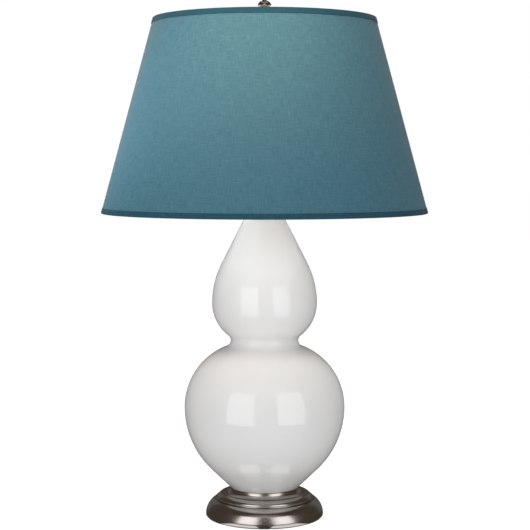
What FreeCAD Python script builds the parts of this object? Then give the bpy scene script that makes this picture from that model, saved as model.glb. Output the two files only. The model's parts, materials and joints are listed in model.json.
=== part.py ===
import FreeCAD, Part

import math
import os

import Sketcher
from FreeCAD import Placement, Rotation, Vector

# Table lamp: a glazed ceramic double gourd on a moulded metal foot, a turn-knob bulb socket, a wire
# harp and a tapered fabric shade held by a finial.
# Lengths are in millimetres. Z is up, the lamp's axis is the Z axis, and the felt stands on Z = 0.
# The harp lies in the XZ plane, the switch knob points to -Y and the cord leaves to +Y.

SIZES = [
    # Foot, what fills it, and the clamp at the lower end of the pipe
    ("felt_thickness", 1.5, "felt under the foot"),
    ("felt_inset", 2.0, "how far the felt stays inside the foot's edge"),
    ("underside_hole", 24.0, "radius of the hole in felt and board under the nut"),
    ("board_thickness", 2.0, "board that carries the felt"),
    ("board_clearance", 0.3, "gap between board and skirt"),
    ("foot_radius", 87.9, "foot at its widest"),
    ("foot_wall", 3.0, "foot's wall at the skirt"),
    ("skirt_height", 2.0, "straight part at the lower edge"),
    ("edge_rounding", 1.2, "rounding of the lower edge"),
    ("dome_run", 13.2, "how far the dome draws in"),
    ("dome_height", 23.0, "dome above the skirt"),
    ("dome_ledge", 2.4, "flat ledge above the dome"),
    ("bead_height", 2.6, "thin bead above the dome"),
    ("bead_bulge", 0.9, "how far the thin bead stands out"),
    ("bead_ledge", 1.8, "flat ledge above the thin bead"),
    ("torus_run", 9.8, "how far the rounded step draws in"),
    ("torus_rise", 6.4, "height of the rounded step"),
    ("torus_bulge", 2.0, "how far the rounded step stands out"),
    ("collar_ledge", 0.9, "flat ledge above the rounded step"),
    ("collar_height", 7.7, "hollow collar"),
    ("collar_hollow", 2.3, "depth of the collar's hollow"),
    ("lip_height", 1.0, "straight lip above the collar"),
    ("lip_rounding", 0.7, "rounding of the lip"),
    ("lip_thickness", 3.0, "lip's wall"),
    ("cup_depth", 4.5, "depth of the cup that takes the gourd"),
    ("cup_clearance", 0.4, "gap between cup and gourd"),
    ("deck_thickness", 3.2, "floor of that cup"),
    ("shoulder_drop", 2.0, "shoulder that the weight meets, below the top of the dome"),
    ("shoulder_width", 6.0, "that shoulder"),
    ("weight_inset", 6.7, "how far the iron weight stays inside the top of the dome"),
    ("weight_thickness", 12.0, "iron weight"),
    ("weight_clearance", 0.6, "gap round the iron weight"),
    ("weight_bevel", 1.5, "bevel round the iron weight's lower edge"),
    ("washer_radius", 16.0, "washer under the weight"),
    ("washer_thickness", 1.2, "washer under the weight"),
    ("pipe_nut_flats", 17.5, "lower nut across flats"),
    ("pipe_nut_thickness", 5.0, "lower nut"),
    ("nut_bevel", 0.8, "bevel of the nuts' corners"),
    ("outlet_height", 6.4, "cord outlet above the foot's lower edge"),
    ("outlet_radius", 2.8, "bore of the cord bushing"),
    ("bushing_wall", 1.2, "cord bushing's wall"),
    ("bushing_lap", 1.2, "how far the bushing's flange overlaps the foot"),
    ("bushing_flange", 1.6, "the flange's thickness"),
    ("bushing_inset", 1.6, "how deep the flange's flat seat lies in the skirt"),
    ("bushing_tail", 1.5, "bushing beyond the inside of the wall"),
    # Pipe
    ("pipe_radius", 5.0, "lamp pipe"),
    ("pipe_bore", 3.3, "radius of the lamp pipe's bore"),
    ("pipe_tail", 1.6, "pipe below the nut"),
    ("pipe_clearance", 0.15, "gap round the pipe and round the bushing"),
    # Gourd
    ("foot_gasket_thickness", 1.0, "foam ring under the gourd"),
    ("gasket_inset", 1.0, "how far the foam ring stays inside the gourd's base"),
    ("spigot_radius", 48.0, "base of the gourd inside the cup"),
    ("seam_gap", 0.3, "gap between the gourd's underside and the lip"),
    ("gourd_foot_radius", 51.3, "gourd above the seam"),
    ("gourd_height", 437.5, "gourd from the seam to its mouth"),
    ("gourd_wall", 5.0, "ceramic wall"),
    ("gourd_floor", 7.0, "ceramic floor"),
    ("gourd_floor_hole", 8.0, "radius of the hole in the floor"),
    ("lower_bulb_radius", 119.4, "lower bulb at its widest"),
    ("lower_bulb_level", 120.0, "widest place of the lower bulb above the seam"),
    ("lower_under_radius", 127.6, "section radius under the lower bulb's widest place"),
    ("lower_over_radius", 96.8, "section radius over it"),
    ("waist_radius", 9.9, "section radius of the waist's hollow"),
    ("casting_joint", 219.8, "joint of the gourd's two castings above the seam"),
    ("casting_gap", 0.05, "gap in that joint"),
    ("upper_bulb_radius", 78.0, "upper bulb at its widest"),
    ("upper_bulb_level", 275.8, "widest place of the upper bulb above the seam"),
    ("upper_under_radius", 60.6, "section radius under the upper bulb's widest place"),
    ("upper_over_radius", 129.8, "section radius over it"),
    ("neck_radius", 17.5, "neck"),
    ("neck_hollow", 30.0, "section radius where the shoulder runs into the neck"),
    ("neck_length", 4.3, "straight part of the neck"),
    # Fittings on the neck
    ("neck_gasket_thickness", 1.0, "rubber ring on the mouth"),
    ("vase_cap_clearance", 0.4, "gap between neck and vase cap"),
    ("vase_cap_wall", 1.8, "vase cap"),
    ("vase_cap_skirt", 6.0, "how far the vase cap reaches down the neck"),
    ("vase_cap_rise", 4.0, "domed top of the vase cap"),
    ("vase_cap_bulge", 1.6, "how far that top stands out of a plain cone"),
    ("vase_cap_boss", 9.5, "radius of the boss on the vase cap"),
    ("vase_cap_boss_height", 2.2, "boss on the vase cap"),
    ("spacer_radius", 8.2, "turned spacer's ends"),
    ("spacer_height", 12.0, "turned spacer"),
    ("spacer_rim", 2.0, "straight rims of the turned spacer"),
    ("spacer_hollow", 1.5, "depth of the turned spacer's hollow"),
    ("saddle_thickness", 1.6, "harp saddle's strip"),
    ("saddle_width", 12.0, "harp saddle's strip"),
    ("saddle_bend", 4.0, "inner radius of the saddle's bends"),
    ("saddle_reach", 31.0, "outer face of the saddle's ears from the axis"),
    ("ear_height", 7.0, "wide part of the ears above the strip"),
    ("tongue_height", 12.5, "narrow tongue on each ear"),
    ("tongue_width", 4.0, "narrow tongue on each ear"),
    ("saddle_nut_flats", 16.0, "thin nut on the saddle"),
    ("saddle_nut_thickness", 3.0, "thin nut on the saddle"),
    # Socket
    ("hub_neck_radius", 8.6, "hub of the socket cap"),
    ("hub_neck_height", 5.4, "hub of the socket cap"),
    ("socket_cap_radius", 18.0, "socket cap"),
    ("socket_cap_height", 12.6, "socket cap above its hub"),
    ("socket_cap_round", 6.0, "rounding of the cap's bowl"),
    ("socket_wall", 0.8, "pressed brass of cap and shell"),
    ("shell_clearance", 0.2, "gap between cap, shell and sleeve"),
    ("shell_lap", 6.0, "shell inside the cap's rim"),
    ("shell_height", 50.0, "socket shell"),
    ("shell_bead", 0.8, "how far the shell's beads stand out"),
    ("shell_bead_height", 4.0, "shell's beads"),
    ("shell_bead_drop", 5.0, "upper bead below the shell's rim"),
    ("shell_bead_pitch", 12.0, "lower bead below the upper one"),
    ("sleeve_thickness", 0.6, "insulating sleeve"),
    ("core_radius", 14.6, "moulded core of the socket"),
    ("core_height", 27.0, "moulded core of the socket"),
    ("core_foot_radius", 9.0, "core's foot in the cap's bowl"),
    ("core_foot_height", 6.5, "core's foot in the cap's bowl"),
    ("core_well_radius", 4.0, "well for the wires in the core's foot"),
    ("screw_shell_radius", 14.3, "threaded shell for the bulb"),
    ("screw_shell_wall", 0.5, "threaded shell for the bulb"),
    ("screw_shell_height", 23.0, "threaded shell for the bulb"),
    ("contact_thickness", 0.6, "bent contact strip"),
    ("contact_width", 5.0, "bent contact strip"),
    ("contact_reach", 8.0, "bent contact strip's foot from the axis"),
    ("contact_rise", 2.4, "contact above the core"),
    ("terminal_level", 12.0, "terminal screws above the core's foot"),
    ("terminal_pocket", 3.9, "radius of the pockets for the terminal screws"),
    ("terminal_pocket_depth", 3.4, "depth of those pockets"),
    ("terminal_head", 3.2, "radius of the terminal screws' heads"),
    ("terminal_head_height", 2.2, "terminal screws' heads"),
    ("terminal_shank", 1.6, "radius of the terminal screws' shanks"),
    ("terminal_length", 5.0, "terminal screws under their heads"),
    ("set_screw_radius", 1.5, "screw in the cap's hub"),
    ("set_screw_head", 2.3, "radius of its head"),
    ("set_screw_head_height", 1.4, "its head"),
    ("slot_width", 0.7, "slots of the screws"),
    ("slot_depth", 0.7, "slots of the screws"),
    ("fit_gap", 0.05, "radial gap of pieces pressed or screwed into each other"),
    ("knob_level", 7.0, "switch shaft above the cap's rim"),
    ("shaft_radius", 2.3, "switch shaft"),
    ("shaft_clearance", 0.08, "running gap round the switch shaft in the core"),
    ("shaft_passage", 0.5, "gap round the switch shaft in shell and sleeve"),
    ("shaft_start", 7.0, "shaft's inner end from the axis"),
    ("shaft_end", 33.0, "shaft's outer end from the axis"),
    ("knob_radius", 6.0, "switch knob"),
    ("knob_start", 22.5, "knob's inner face from the axis"),
    ("knob_length", 14.0, "switch knob"),
    ("knob_rounding", 1.0, "rounding of the knob's outer end"),
    ("knob_flute", 0.8, "radius of the knob's flutes"),
    ("knob_flutes", 12, "number of flutes round the knob"),
    # Bulb
    ("bulb_play", 0.25, "gap round the bulb's screw cap and under its contact"),
    ("thread_depth", 0.4, "bulb thread, which cap and shell leave room for"),
    ("bulb_cap_length", 24.5, "bulb's screw cap"),
    ("bulb_cap_wall", 0.5, "bulb's screw cap"),
    ("bulb_contact_radius", 4.6, "contact under the bulb"),
    ("bulb_contact_height", 0.9, "contact under the bulb"),
    ("bulb_insulator_height", 3.2, "insulator between contact and screw cap"),
    ("bulb_radius", 34.0, "bulb at its widest"),
    ("bulb_height", 103.0, "bulb above its screw cap"),
    ("bulb_neck_radius", 14.8, "bulb's neck above the screw cap"),
    ("bulb_neck_rise", 5.0, "flare of the neck above the screw cap"),
    ("bulb_stem", 7.0, "neck inside the screw cap"),
    ("bulb_hollow", 2.4, "how far the neck's curve is drawn in"),
    ("bulb_glass_wall", 0.9, "bulb's glass"),
    # Harp
    ("harp_height", 221.4, "stud's shoulder above the saddle"),
    ("harp_wire_radius", 1.6, "harp's wire"),
    ("harp_leg_gap", 0.15, "gap between tongue and leg"),
    ("harp_leg_top", 33.0, "top of the straight legs above the saddle"),
    ("harp_half_width", 57.0, "harp's wire at its widest"),
    ("harp_waist_level", 113.0, "widest place of the harp above the saddle"),
    ("harp_shoulder", 24.0, "radius of the bends at the crown"),
    ("harp_flat", 16.0, "where the crown's bends begin, from the axis"),
    ("crown_radius", 6.0, "eye in the middle of the harp's crown"),
    ("crown_height", 5.0, "that eye"),
    ("stud_shank", 2.5, "stud's shank in the eye"),
    ("stud_clearance", 0.08, "running gap round the shank"),
    ("swivel_gap", 0.2, "end play of the stud in the eye, on each side"),
    ("stud_flange_radius", 7.0, "stud's shoulder"),
    ("stud_flange_thickness", 1.6, "stud's shoulder"),
    ("stud_post_radius", 3.17, "stud's threaded post"),
    ("stud_post_height", 16.0, "stud's threaded post"),
    ("stud_head_radius", 4.0, "riveted head under the eye"),
    ("stud_head_height", 1.6, "riveted head under the eye"),
    ("ferrule_wall", 0.9, "locking ferrule"),
    ("ferrule_height", 12.3, "locking ferrule"),
    ("ferrule_clearance", 0.3, "gap round tongue and leg in the ferrule"),
    ("ferrule_gap", 0.2, "gap between ferrule and ear"),
    ("ferrule_bead", 0.4, "how far the ferrule's middle stands out"),
    # Shade
    ("shade_top_radius", 163.1, "fabric at the upper edge"),
    ("shade_bottom_radius", 240.6, "fabric at the lower edge"),
    ("shade_height", 285.0, "shade with its trim"),
    ("spider_drop", 13.0, "hub's underside below the shade's upper edge"),
    ("fabric_thickness", 0.5, "outer fabric, measured level"),
    ("liner_thickness", 0.8, "stiff liner, measured level"),
    ("glue_line", 0.05, "gap between glued layers"),
    ("ring_wire_radius", 1.3, "shade's ring wires"),
    ("trim_width", 8.0, "trim on the outside"),
    ("trim_thickness", 0.6, "trim"),
    ("hub_radius", 12.7, "spider's hub"),
    ("hub_thickness", 2.4, "spider's hub"),
    ("hub_play", 0.15, "gap between hub and post"),
    ("arm_wire_radius", 1.2, "spider's arms"),
    ("arm_bend", 5.0, "radius of the arms' upward bend"),
    ("arm_count", 3, "number of the spider's arms"),
    ("weld_gap", 0.05, "gap at soldered ends"),
    # Finial
    ("finial_gap", 0.15, "gap between finial and hub"),
    ("finial_base_radius", 8.0, "finial's base disc"),
    ("finial_base_height", 3.0, "finial's base disc"),
    ("finial_stem_radius", 5.8, "finial's stem"),
    ("finial_stem_hollow", 0.6, "depth of the stem's hollow"),
    ("finial_dome_radius", 9.8, "finial's dome at its edge"),
    ("finial_dome_level", 29.4, "dome's edge above the hub"),
    ("finial_dome_edge", 1.4, "thickness of the dome's edge"),
    ("finial_dome_rise", 5.5, "dome above its edge"),
    ("finial_dome_bulge", 1.3, "how far the dome stands out of a plain cone"),
    ("finial_flare", 5.0, "height of the flare under the dome"),
    ("finial_flare_hollow", 1.0, "depth of that flare's hollow"),
    ("finial_neck_radius", 3.2, "neck over the dome"),
    ("finial_neck_length", 3.4, "neck over the dome"),
    ("finial_ball_radius", 9.6, "ball on the top"),
    ("insert_wall", 1.2, "threaded insert in the finial"),
    ("insert_length", 17.5, "threaded insert in the finial"),
    ("insert_play", 0.08, "gap between insert and post"),
]

LEFT = "left"
RIGHT = "right"
SIDES = (("left", -1), ("right", 1))

UPRIGHT = Rotation()
TO_FRONT = Rotation(Vector(1, 0, 0), 90)
TO_BACK = Rotation(Vector(1, 0, 0), -90)

doc = FreeCAD.newDocument("DoubleGourdLamp")


# Values and the sheets that hold them ---------------------------------------------------------


class Value:
    """A number together with the formula over the sheets' cells that gives it."""

    def __init__(self, number, formula):
        self.number = float(number)
        self.formula = formula

    def __add__(self, other):
        other = as_value(other)
        return Value(self.number + other.number, f"({self.formula} + {other.formula})")

    def __sub__(self, other):
        other = as_value(other)
        return Value(self.number - other.number, f"({self.formula} - {other.formula})")

    def __mul__(self, other):
        other = as_value(other)
        return Value(self.number * other.number, f"({self.formula} * {other.formula})")

    def __truediv__(self, other):
        other = as_value(other)
        return Value(self.number / other.number, f"({self.formula} / {other.formula})")

    def __radd__(self, other):
        return as_value(other) + self

    def __rmul__(self, other):
        return as_value(other) * self

    def __neg__(self):
        return self * -1


def as_value(thing):
    """The thing as a Value. A plain number is its own formula."""
    return thing if isinstance(thing, Value) else Value(thing, f"({thing})")


def square_root(value):
    """The square root of a value."""
    return Value(math.sqrt(value.number), f"sqrt({value.formula})")


def upright_radius(run, rise):
    """The radius of an arc that starts upright and goes that far in and up."""
    return (run * run + rise * rise) / (2 * run)


def bulge_radius(across, up, bulge):
    """The radius of an arc that stands out by the bulge over a chord of those two legs."""
    return ((across * across + up * up) / 4 + bulge * bulge) / (2 * bulge)


class Sheet:
    """A spreadsheet of the document. Its values are read as attributes."""

    def __init__(self, name):
        self.name = name
        self.table = doc.addObject("Spreadsheet::Sheet", name)
        self.aliases = []

    def write(self, alias, number, content, note=""):
        """Adds a row with that alias for its content, and keeps its value."""
        self.aliases.append(alias)
        row = len(self.aliases)
        self.table.set(f"A{row}", alias)
        self.table.set(f"B{row}", content)
        self.table.setAlias(f"B{row}", alias)
        self.table.set(f"C{row}", note)
        setattr(self, alias, Value(number, f"{self.name}.{alias}"))

    def work_out(self, alias, value):
        """Adds a row whose content is the value's formula."""
        self.write(alias, value.number, "=" + value.formula.replace(f"{self.name}.", ""))


size = Sheet("Sizes")
for size_alias, size_number, size_note in SIZES:
    size.write(size_alias, size_number, str(size_number), size_note)
doc.recompute()

level = Sheet("Levels")


def work_out_foot():
    """Heights and radii of the foot and of what hangs in it, from the table upwards."""
    level.work_out("foot_bottom", size.felt_thickness)
    level.work_out("dome_base", level.foot_bottom + size.skirt_height)
    level.work_out("dome_top", level.dome_base + size.dome_height)
    level.work_out("bead_top", level.dome_top + size.bead_height)
    level.work_out("torus_top", level.bead_top + size.torus_rise)
    level.work_out("collar_top", level.torus_top + size.collar_height)
    level.work_out("foot_top", level.collar_top + size.lip_height)
    level.work_out("deck", level.foot_top - size.cup_depth)
    level.work_out("dome_top_radius", size.foot_radius - size.dome_run)
    level.work_out("bead_radius", level.dome_top_radius - size.dome_ledge)
    level.work_out("torus_radius", level.bead_radius - size.bead_ledge)
    level.work_out("torus_top_radius", level.torus_radius - size.torus_run)
    level.work_out("collar_radius", level.torus_top_radius - size.collar_ledge)
    level.work_out("cup_radius", size.spigot_radius + size.cup_clearance)
    level.work_out("lip_radius", level.cup_radius + size.lip_thickness)
    level.work_out("weight_radius", level.dome_top_radius - size.weight_inset)
    level.work_out("weight_top", level.dome_top - size.shoulder_drop)
    level.work_out("weight_bottom", level.weight_top - size.weight_thickness)
    level.work_out("washer_bottom", level.weight_bottom - size.washer_thickness)
    level.work_out("pipe_nut_bottom", level.washer_bottom - size.pipe_nut_thickness)
    level.work_out("pipe_bottom", level.pipe_nut_bottom - size.pipe_tail)
    level.work_out("pipe_hole", size.pipe_radius + size.pipe_clearance)
    level.work_out("outlet", level.foot_bottom + size.outlet_height)
    level.work_out("bushing_radius", size.outlet_radius + size.bushing_wall)
    level.work_out("bushing_rim", level.bushing_radius + size.bushing_lap)
    level.work_out("bushing_seat", size.foot_radius - size.bushing_inset)


def work_out_gourd():
    """Heights of the gourd and of the fittings on its neck."""
    level.work_out("gourd_bottom", level.deck + size.foot_gasket_thickness)
    level.work_out("seam", level.foot_top + size.seam_gap)
    level.work_out("lower_widest", level.seam + size.lower_bulb_level)
    level.work_out("upper_widest", level.seam + size.upper_bulb_level)
    level.work_out("joint_bottom", level.seam + size.casting_joint)
    level.work_out("mouth", level.seam + size.gourd_height)
    level.work_out("neck_start", level.mouth - size.neck_length)
    level.work_out("mouth_radius", size.neck_radius - size.gourd_wall)
    level.work_out("cap_seat", level.mouth + size.neck_gasket_thickness)
    level.work_out("cap_shoulder", level.cap_seat + size.vase_cap_wall)
    level.work_out("cap_top", level.cap_shoulder + size.vase_cap_rise)
    level.work_out("spacer_bottom", level.cap_top + size.vase_cap_boss_height)
    level.work_out("saddle_bottom", level.spacer_bottom + size.spacer_height)
    level.work_out("saddle_top", level.saddle_bottom + size.saddle_thickness)
    level.work_out("ear_top", level.saddle_top + size.ear_height)
    level.work_out("tongue_top", level.ear_top + size.tongue_height)
    level.work_out("ear_inside", size.saddle_reach - size.saddle_thickness)


def work_out_socket():
    """Heights of socket and bulb."""
    level.work_out("socket_bottom", level.saddle_top + size.saddle_nut_thickness)
    level.work_out("set_screw", level.socket_bottom + size.hub_neck_height / 2)
    level.work_out("bowl", level.socket_bottom + size.hub_neck_height)
    level.work_out("cap_rim", level.bowl + size.socket_cap_height)
    level.work_out("shell_radius", size.socket_cap_radius - size.socket_wall - size.shell_clearance)
    level.work_out("shell_bottom", level.cap_rim - size.shell_lap)
    level.work_out("shell_top", level.shell_bottom + size.shell_height)
    level.work_out("sleeve_radius", level.shell_radius - size.socket_wall - size.shell_clearance)
    level.work_out("core_bottom", level.bowl + size.socket_wall)
    level.work_out("core_top", level.core_bottom + size.core_height)
    level.work_out("terminals", level.core_bottom + size.terminal_level)
    level.work_out("terminal_seat", size.core_radius - size.terminal_pocket_depth)
    level.work_out("terminal_end", level.terminal_seat - size.terminal_length)
    level.work_out("shaft", level.cap_rim + size.knob_level)
    level.work_out("bulb_bottom", level.core_top + size.contact_rise + size.bulb_play)
    level.work_out("insulator_bottom", level.bulb_bottom + size.bulb_contact_height)
    level.work_out("bulb_cap_bottom", level.insulator_bottom + size.bulb_insulator_height)
    level.work_out("bulb_cap_top", level.bulb_cap_bottom + size.bulb_cap_length)
    level.work_out("bulb_top", level.bulb_cap_top + size.bulb_height)
    level.work_out("bulb_widest", level.bulb_top - size.bulb_radius)
    thread_inside = size.screw_shell_radius - size.screw_shell_wall - size.thread_depth
    level.work_out("bulb_cap_radius", thread_inside - size.bulb_play)


def work_out_harp():
    """Places on the harp, its stud and its ferrules."""
    level.work_out("leg", size.saddle_reach + size.harp_leg_gap + size.harp_wire_radius)
    level.work_out("leg_bottom", level.ear_top + size.ferrule_gap)
    level.work_out("leg_top", level.saddle_top + size.harp_leg_top)
    level.work_out("harp_waist", level.saddle_top + size.harp_waist_level)
    level.work_out("stud_shoulder", level.saddle_top + size.harp_height)
    level.work_out("flange_bottom", level.stud_shoulder - size.stud_flange_thickness)
    level.work_out("crown_top", level.flange_bottom - size.swivel_gap)
    level.work_out("crown_bottom", level.crown_top - size.crown_height)
    level.work_out("crown_wire", level.crown_top - size.crown_height / 2)
    half_pair = (size.saddle_thickness + size.harp_leg_gap) / 2 + size.harp_wire_radius
    level.work_out("ferrule_axis", level.ear_inside + half_pair)
    corner = square_root(half_pair * half_pair + size.tongue_width * size.tongue_width / 4)
    level.work_out("ferrule_bore", corner + size.ferrule_clearance)
    level.work_out("ferrule_radius", level.ferrule_bore + size.ferrule_wall)


def work_out_shade():
    """Places on the shade, its spider and the finial."""
    level.work_out("hub_top", level.stud_shoulder + size.hub_thickness)
    level.work_out("hub_bore", size.stud_post_radius + size.hub_play)
    level.work_out("shade_top", level.stud_shoulder + size.spider_drop)
    level.work_out("shade_bottom", level.shade_top - size.shade_height)
    level.work_out("fabric_top", level.shade_top - size.trim_thickness - size.glue_line)
    level.work_out("fabric_bottom", level.shade_bottom + size.trim_thickness + size.glue_line)
    run = size.shade_bottom_radius - size.shade_top_radius
    level.work_out("taper", run / (level.fabric_top - level.fabric_bottom))
    slant = square_root(1 + level.taper * level.taper)
    level.work_out("wall_depth", size.fabric_thickness + size.glue_line + size.liner_thickness)
    level.work_out("ring_inset", level.wall_depth + size.glue_line + size.ring_wire_radius * slant)
    level.work_out("top_ring", level.fabric_top - size.ring_wire_radius)
    level.work_out("bottom_ring", level.fabric_bottom + size.ring_wire_radius)
    lean = level.taper * size.ring_wire_radius
    level.work_out("top_ring_radius", size.shade_top_radius - level.ring_inset + lean)
    level.work_out("bottom_ring_radius", size.shade_bottom_radius - level.ring_inset - lean)
    level.work_out("arm", level.stud_shoulder + size.hub_thickness / 2)
    level.work_out("arm_end", level.top_ring - size.ring_wire_radius - size.weld_gap)
    level.work_out("finial_bottom", level.hub_top + size.finial_gap)
    level.work_out("stem_bottom", level.finial_bottom + size.finial_base_height)
    level.work_out("dome_edge", level.hub_top + size.finial_dome_level)
    level.work_out("dome_shoulder", level.dome_edge + size.finial_dome_edge)
    level.work_out("finial_dome_top", level.dome_shoulder + size.finial_dome_rise)
    level.work_out("ball_bottom", level.finial_dome_top + size.finial_neck_length)
    level.work_out("insert_bore", size.stud_post_radius + size.insert_play)
    level.work_out("insert_radius", level.insert_bore + size.insert_wall)
    level.work_out("insert_top", level.finial_bottom + size.insert_length)


work_out_foot()
work_out_gourd()
work_out_socket()
work_out_harp()
work_out_shade()
doc.recompute()


# Sketches -------------------------------------------------------------------------------------


def new_body(node):
    """An empty body named as its node."""
    body = doc.addObject("PartDesign::Body", node)
    body.Label = node
    return body


def new_sketch(body, name, plane="XZ_Plane", lift=0):
    """A sketch on one of the body's own planes, lifted off it along the plane's normal."""
    sketch = body.newObject("Sketcher::SketchObject", f"{body.Name}_{name}")
    origin_plane = next(item for item in body.Origin.OriginFeatures if item.Role == plane)
    sketch.AttachmentSupport = (origin_plane, [""])
    sketch.MapMode = "FlatFace"
    if isinstance(lift, Value):
        sketch.AttachmentOffset = Placement(Vector(0, 0, lift.number), Rotation())
        sketch.setExpression("AttachmentOffset.Base.z", lift.formula)
    doc.recompute()
    return sketch


def dimension(sketch, kind, *where):
    """Adds a constraint whose last argument is the value that it is bound to."""
    value = where[-1]
    index = sketch.addConstraint(Sketcher.Constraint(kind, *where[:-1], value.number))
    sketch.setExpression(f"Constraints[{index}]", value.formula)


def relate(sketch, kind, *where):
    """Adds a constraint that has no value."""
    sketch.addConstraint(Sketcher.Constraint(kind, *where))


def place(sketch, geometry, point, across, up):
    """Holds one point of a geometry at a place, where a plain 0 means on the axis."""
    if isinstance(across, Value):
        dimension(sketch, "DistanceX", -1, 1, geometry, point, across)
    else:
        relate(sketch, "PointOnObject", geometry, point, -2)
    if isinstance(up, Value):
        dimension(sketch, "DistanceY", -1, 1, geometry, point, up)
    else:
        relate(sketch, "PointOnObject", geometry, point, -1)


def spot(across, up):
    """The point of a sketch at two values."""
    return Vector(as_value(across).number, as_value(up).number, 0)


def arc_round(centre, start, end, turn):
    """The arc round a centre from start to end, turning left or right on the way."""
    first, last = (start, end) if turn == LEFT else (end, start)
    begin = math.atan2(first.y - centre.y, first.x - centre.x)
    finish = math.atan2(last.y - centre.y, last.x - centre.x)
    if finish <= begin:
        finish += 2 * math.pi
    circle = Part.Circle(centre, Vector(0, 0, 1), (start - centre).Length)
    return Part.ArcOfCircle(circle, begin, finish)


def arc_between(start, end, radius, turn):
    """The arc of that radius, under a half circle, from start to end."""
    chord = end - start
    reach = math.sqrt(max(radius**2 - chord.Length**2 / 4, 0.0))
    aside = Vector(-chord.y, chord.x, 0).normalize() * reach
    centre = (start + end) * 0.5 + (aside if turn == LEFT else -aside)
    return arc_round(centre, start, end, turn)


def span_to(sketch, start, corner):
    """Draws the line or arc that leads to a corner. Returns it with its first and last point."""
    end = spot(*corner[:2])
    if len(corner) == 2:
        return sketch.addGeometry(Part.LineSegment(start, end), False), 1, 2
    radius, turn = corner[2:]
    arc = sketch.addGeometry(arc_between(start, end, radius.number, turn), False)
    dimension(sketch, "Radius", arc, radius)
    return (arc, 1, 2) if turn == LEFT else (arc, 2, 1)


def draw(sketch, corners, closed=True):
    """Draws an outline through corners: (across, up) where a line leads to the corner, and
    (across, up, radius, turn) where an arc does."""
    route = corners[1:] + corners[:1] if closed else corners[1:]
    spans = []
    before = corners[0]
    for corner in route:
        spans.append(span_to(sketch, spot(*before[:2]), corner))
        before = corner
    for (one, _, end), (other, start, _) in zip(spans, spans[1:]):
        relate(sketch, "Coincident", one, end, other, start)
    if closed:
        relate(sketch, "Coincident", spans[-1][0], spans[-1][2], spans[0][0], spans[0][1])
    for (geometry, start, _), corner in zip(spans, corners):
        place(sketch, geometry, start, *corner[:2])
    if not closed:
        place(sketch, spans[-1][0], spans[-1][2], *corners[-1][:2])


def draw_circle(sketch, across, up, radius):
    """Draws a circle."""
    circle = Part.Circle(spot(across, up), Vector(0, 0, 1), radius.number)
    geometry = sketch.addGeometry(circle, False)
    place(sketch, geometry, 3, across, up)
    dimension(sketch, "Radius", geometry, radius)


def rectangle(left, right, low, high):
    """The corners of a rectangle."""
    return [(left, low), (right, low), (right, high), (left, high)]


# Features -------------------------------------------------------------------------------------


def revolve(body, sketch, kind="Revolution"):
    """Turns a sketch round the body's vertical axis, adding it or, as a Groove, taking it away."""
    feature = body.newObject(f"PartDesign::{kind}", f"{sketch.Name}_{kind}")
    feature.Profile = sketch
    feature.ReferenceAxis = (sketch, ["V_Axis"])
    feature.Angle = 360
    doc.recompute()
    return feature


def turned(node, corners):
    """A body turned from one outline of radii and heights."""
    body = new_body(node)
    sketch = new_sketch(body, "Section")
    draw(sketch, corners)
    revolve(body, sketch)
    return body


def pad(body, sketch, length, both_ways=False, reverse=False):
    """Pads a sketch along its normal, against it, or half of the length each way."""
    feature = body.newObject("PartDesign::Pad", f"{sketch.Name}_Pad")
    feature.Profile = sketch
    feature.Length = length.number
    feature.setExpression("Length", length.formula)
    feature.SideType = "Symmetric" if both_ways else "One side"
    feature.Reversed = reverse
    doc.recompute()
    return feature


def pocket(body, sketch, both_ways=False, along_normal=False):
    """Cuts a sketch through all that lies behind it, before it or on both sides of it."""
    before = body.Shape.Volume
    feature = body.newObject("PartDesign::Pocket", f"{sketch.Name}_Pocket")
    feature.Profile = sketch
    feature.Type = "ThroughAll"
    feature.SideType = "Symmetric" if both_ways else "One side"
    feature.Reversed = along_normal
    doc.recompute()
    if not body.Shape.Volume < before:
        raise RuntimeError(f"{feature.Name} cuts nothing")
    return feature


def sweep(body, profile, spine):
    """Sweeps a profile sketch along a spine sketch."""
    feature = body.newObject("PartDesign::AdditivePipe", f"{profile.Name}_Pipe")
    feature.Profile = profile
    feature.Spine = (spine, [])
    doc.recompute()
    return feature


def repeat_round(body, feature, count):
    """Repeats a feature round the body's vertical axis."""
    pattern = body.newObject("PartDesign::PolarPattern", f"{feature.Name}_Polar")
    pattern.Originals = [feature]
    axis = next(item for item in body.Origin.OriginFeatures if item.Role == "Z_Axis")
    pattern.Axis = (axis, [""])
    pattern.Angle = 360
    pattern.Occurrences = int(count.number)
    pattern.setExpression("Occurrences", count.formula)
    body.Tip = pattern
    doc.recompute()
    return pattern


def stand(body, turn, across=0, along=0, up=0):
    """Turns a body that was made upright, and puts its origin at three values."""
    places = (as_value(across), as_value(along), as_value(up))
    body.Placement = Placement(Vector(*(value.number for value in places)), turn)
    for letter, value in zip("xyz", places):
        body.setExpression(f"Placement.Base.{letter}", value.formula)
    doc.recompute()


def hexagon(flats):
    """The corners of a hexagon across those flats, the first on the X axis."""
    corner = flats / math.sqrt(3)
    half = corner / 2
    side = flats / 2
    return [(corner, 0), (half, side), (-half, side), (-corner, 0), (-half, -side), (half, -side)]


def hex_nut(node, flats, thickness, bottom):
    """A hexagon nut round the pipe, with bevelled corners."""
    body = new_body(node)
    sketch = new_sketch(body, "Hexagon", "XY_Plane", bottom)
    draw(sketch, hexagon(flats))
    draw_circle(sketch, 0, 0, level.pipe_hole)
    pad(body, sketch, thickness)
    bevel = new_sketch(body, "Bevel")
    top = bottom + thickness
    inner = flats / 2
    outer = flats / math.sqrt(3) + size.nut_bevel
    draw(bevel, [(inner, bottom), (outer, bottom), (outer, bottom + size.nut_bevel)])
    draw(bevel, [(inner, top), (outer, top - size.nut_bevel), (outer, top)])
    revolve(body, bevel, "Groove")
    return body


# Foot -----------------------------------------------------------------------------------------


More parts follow.
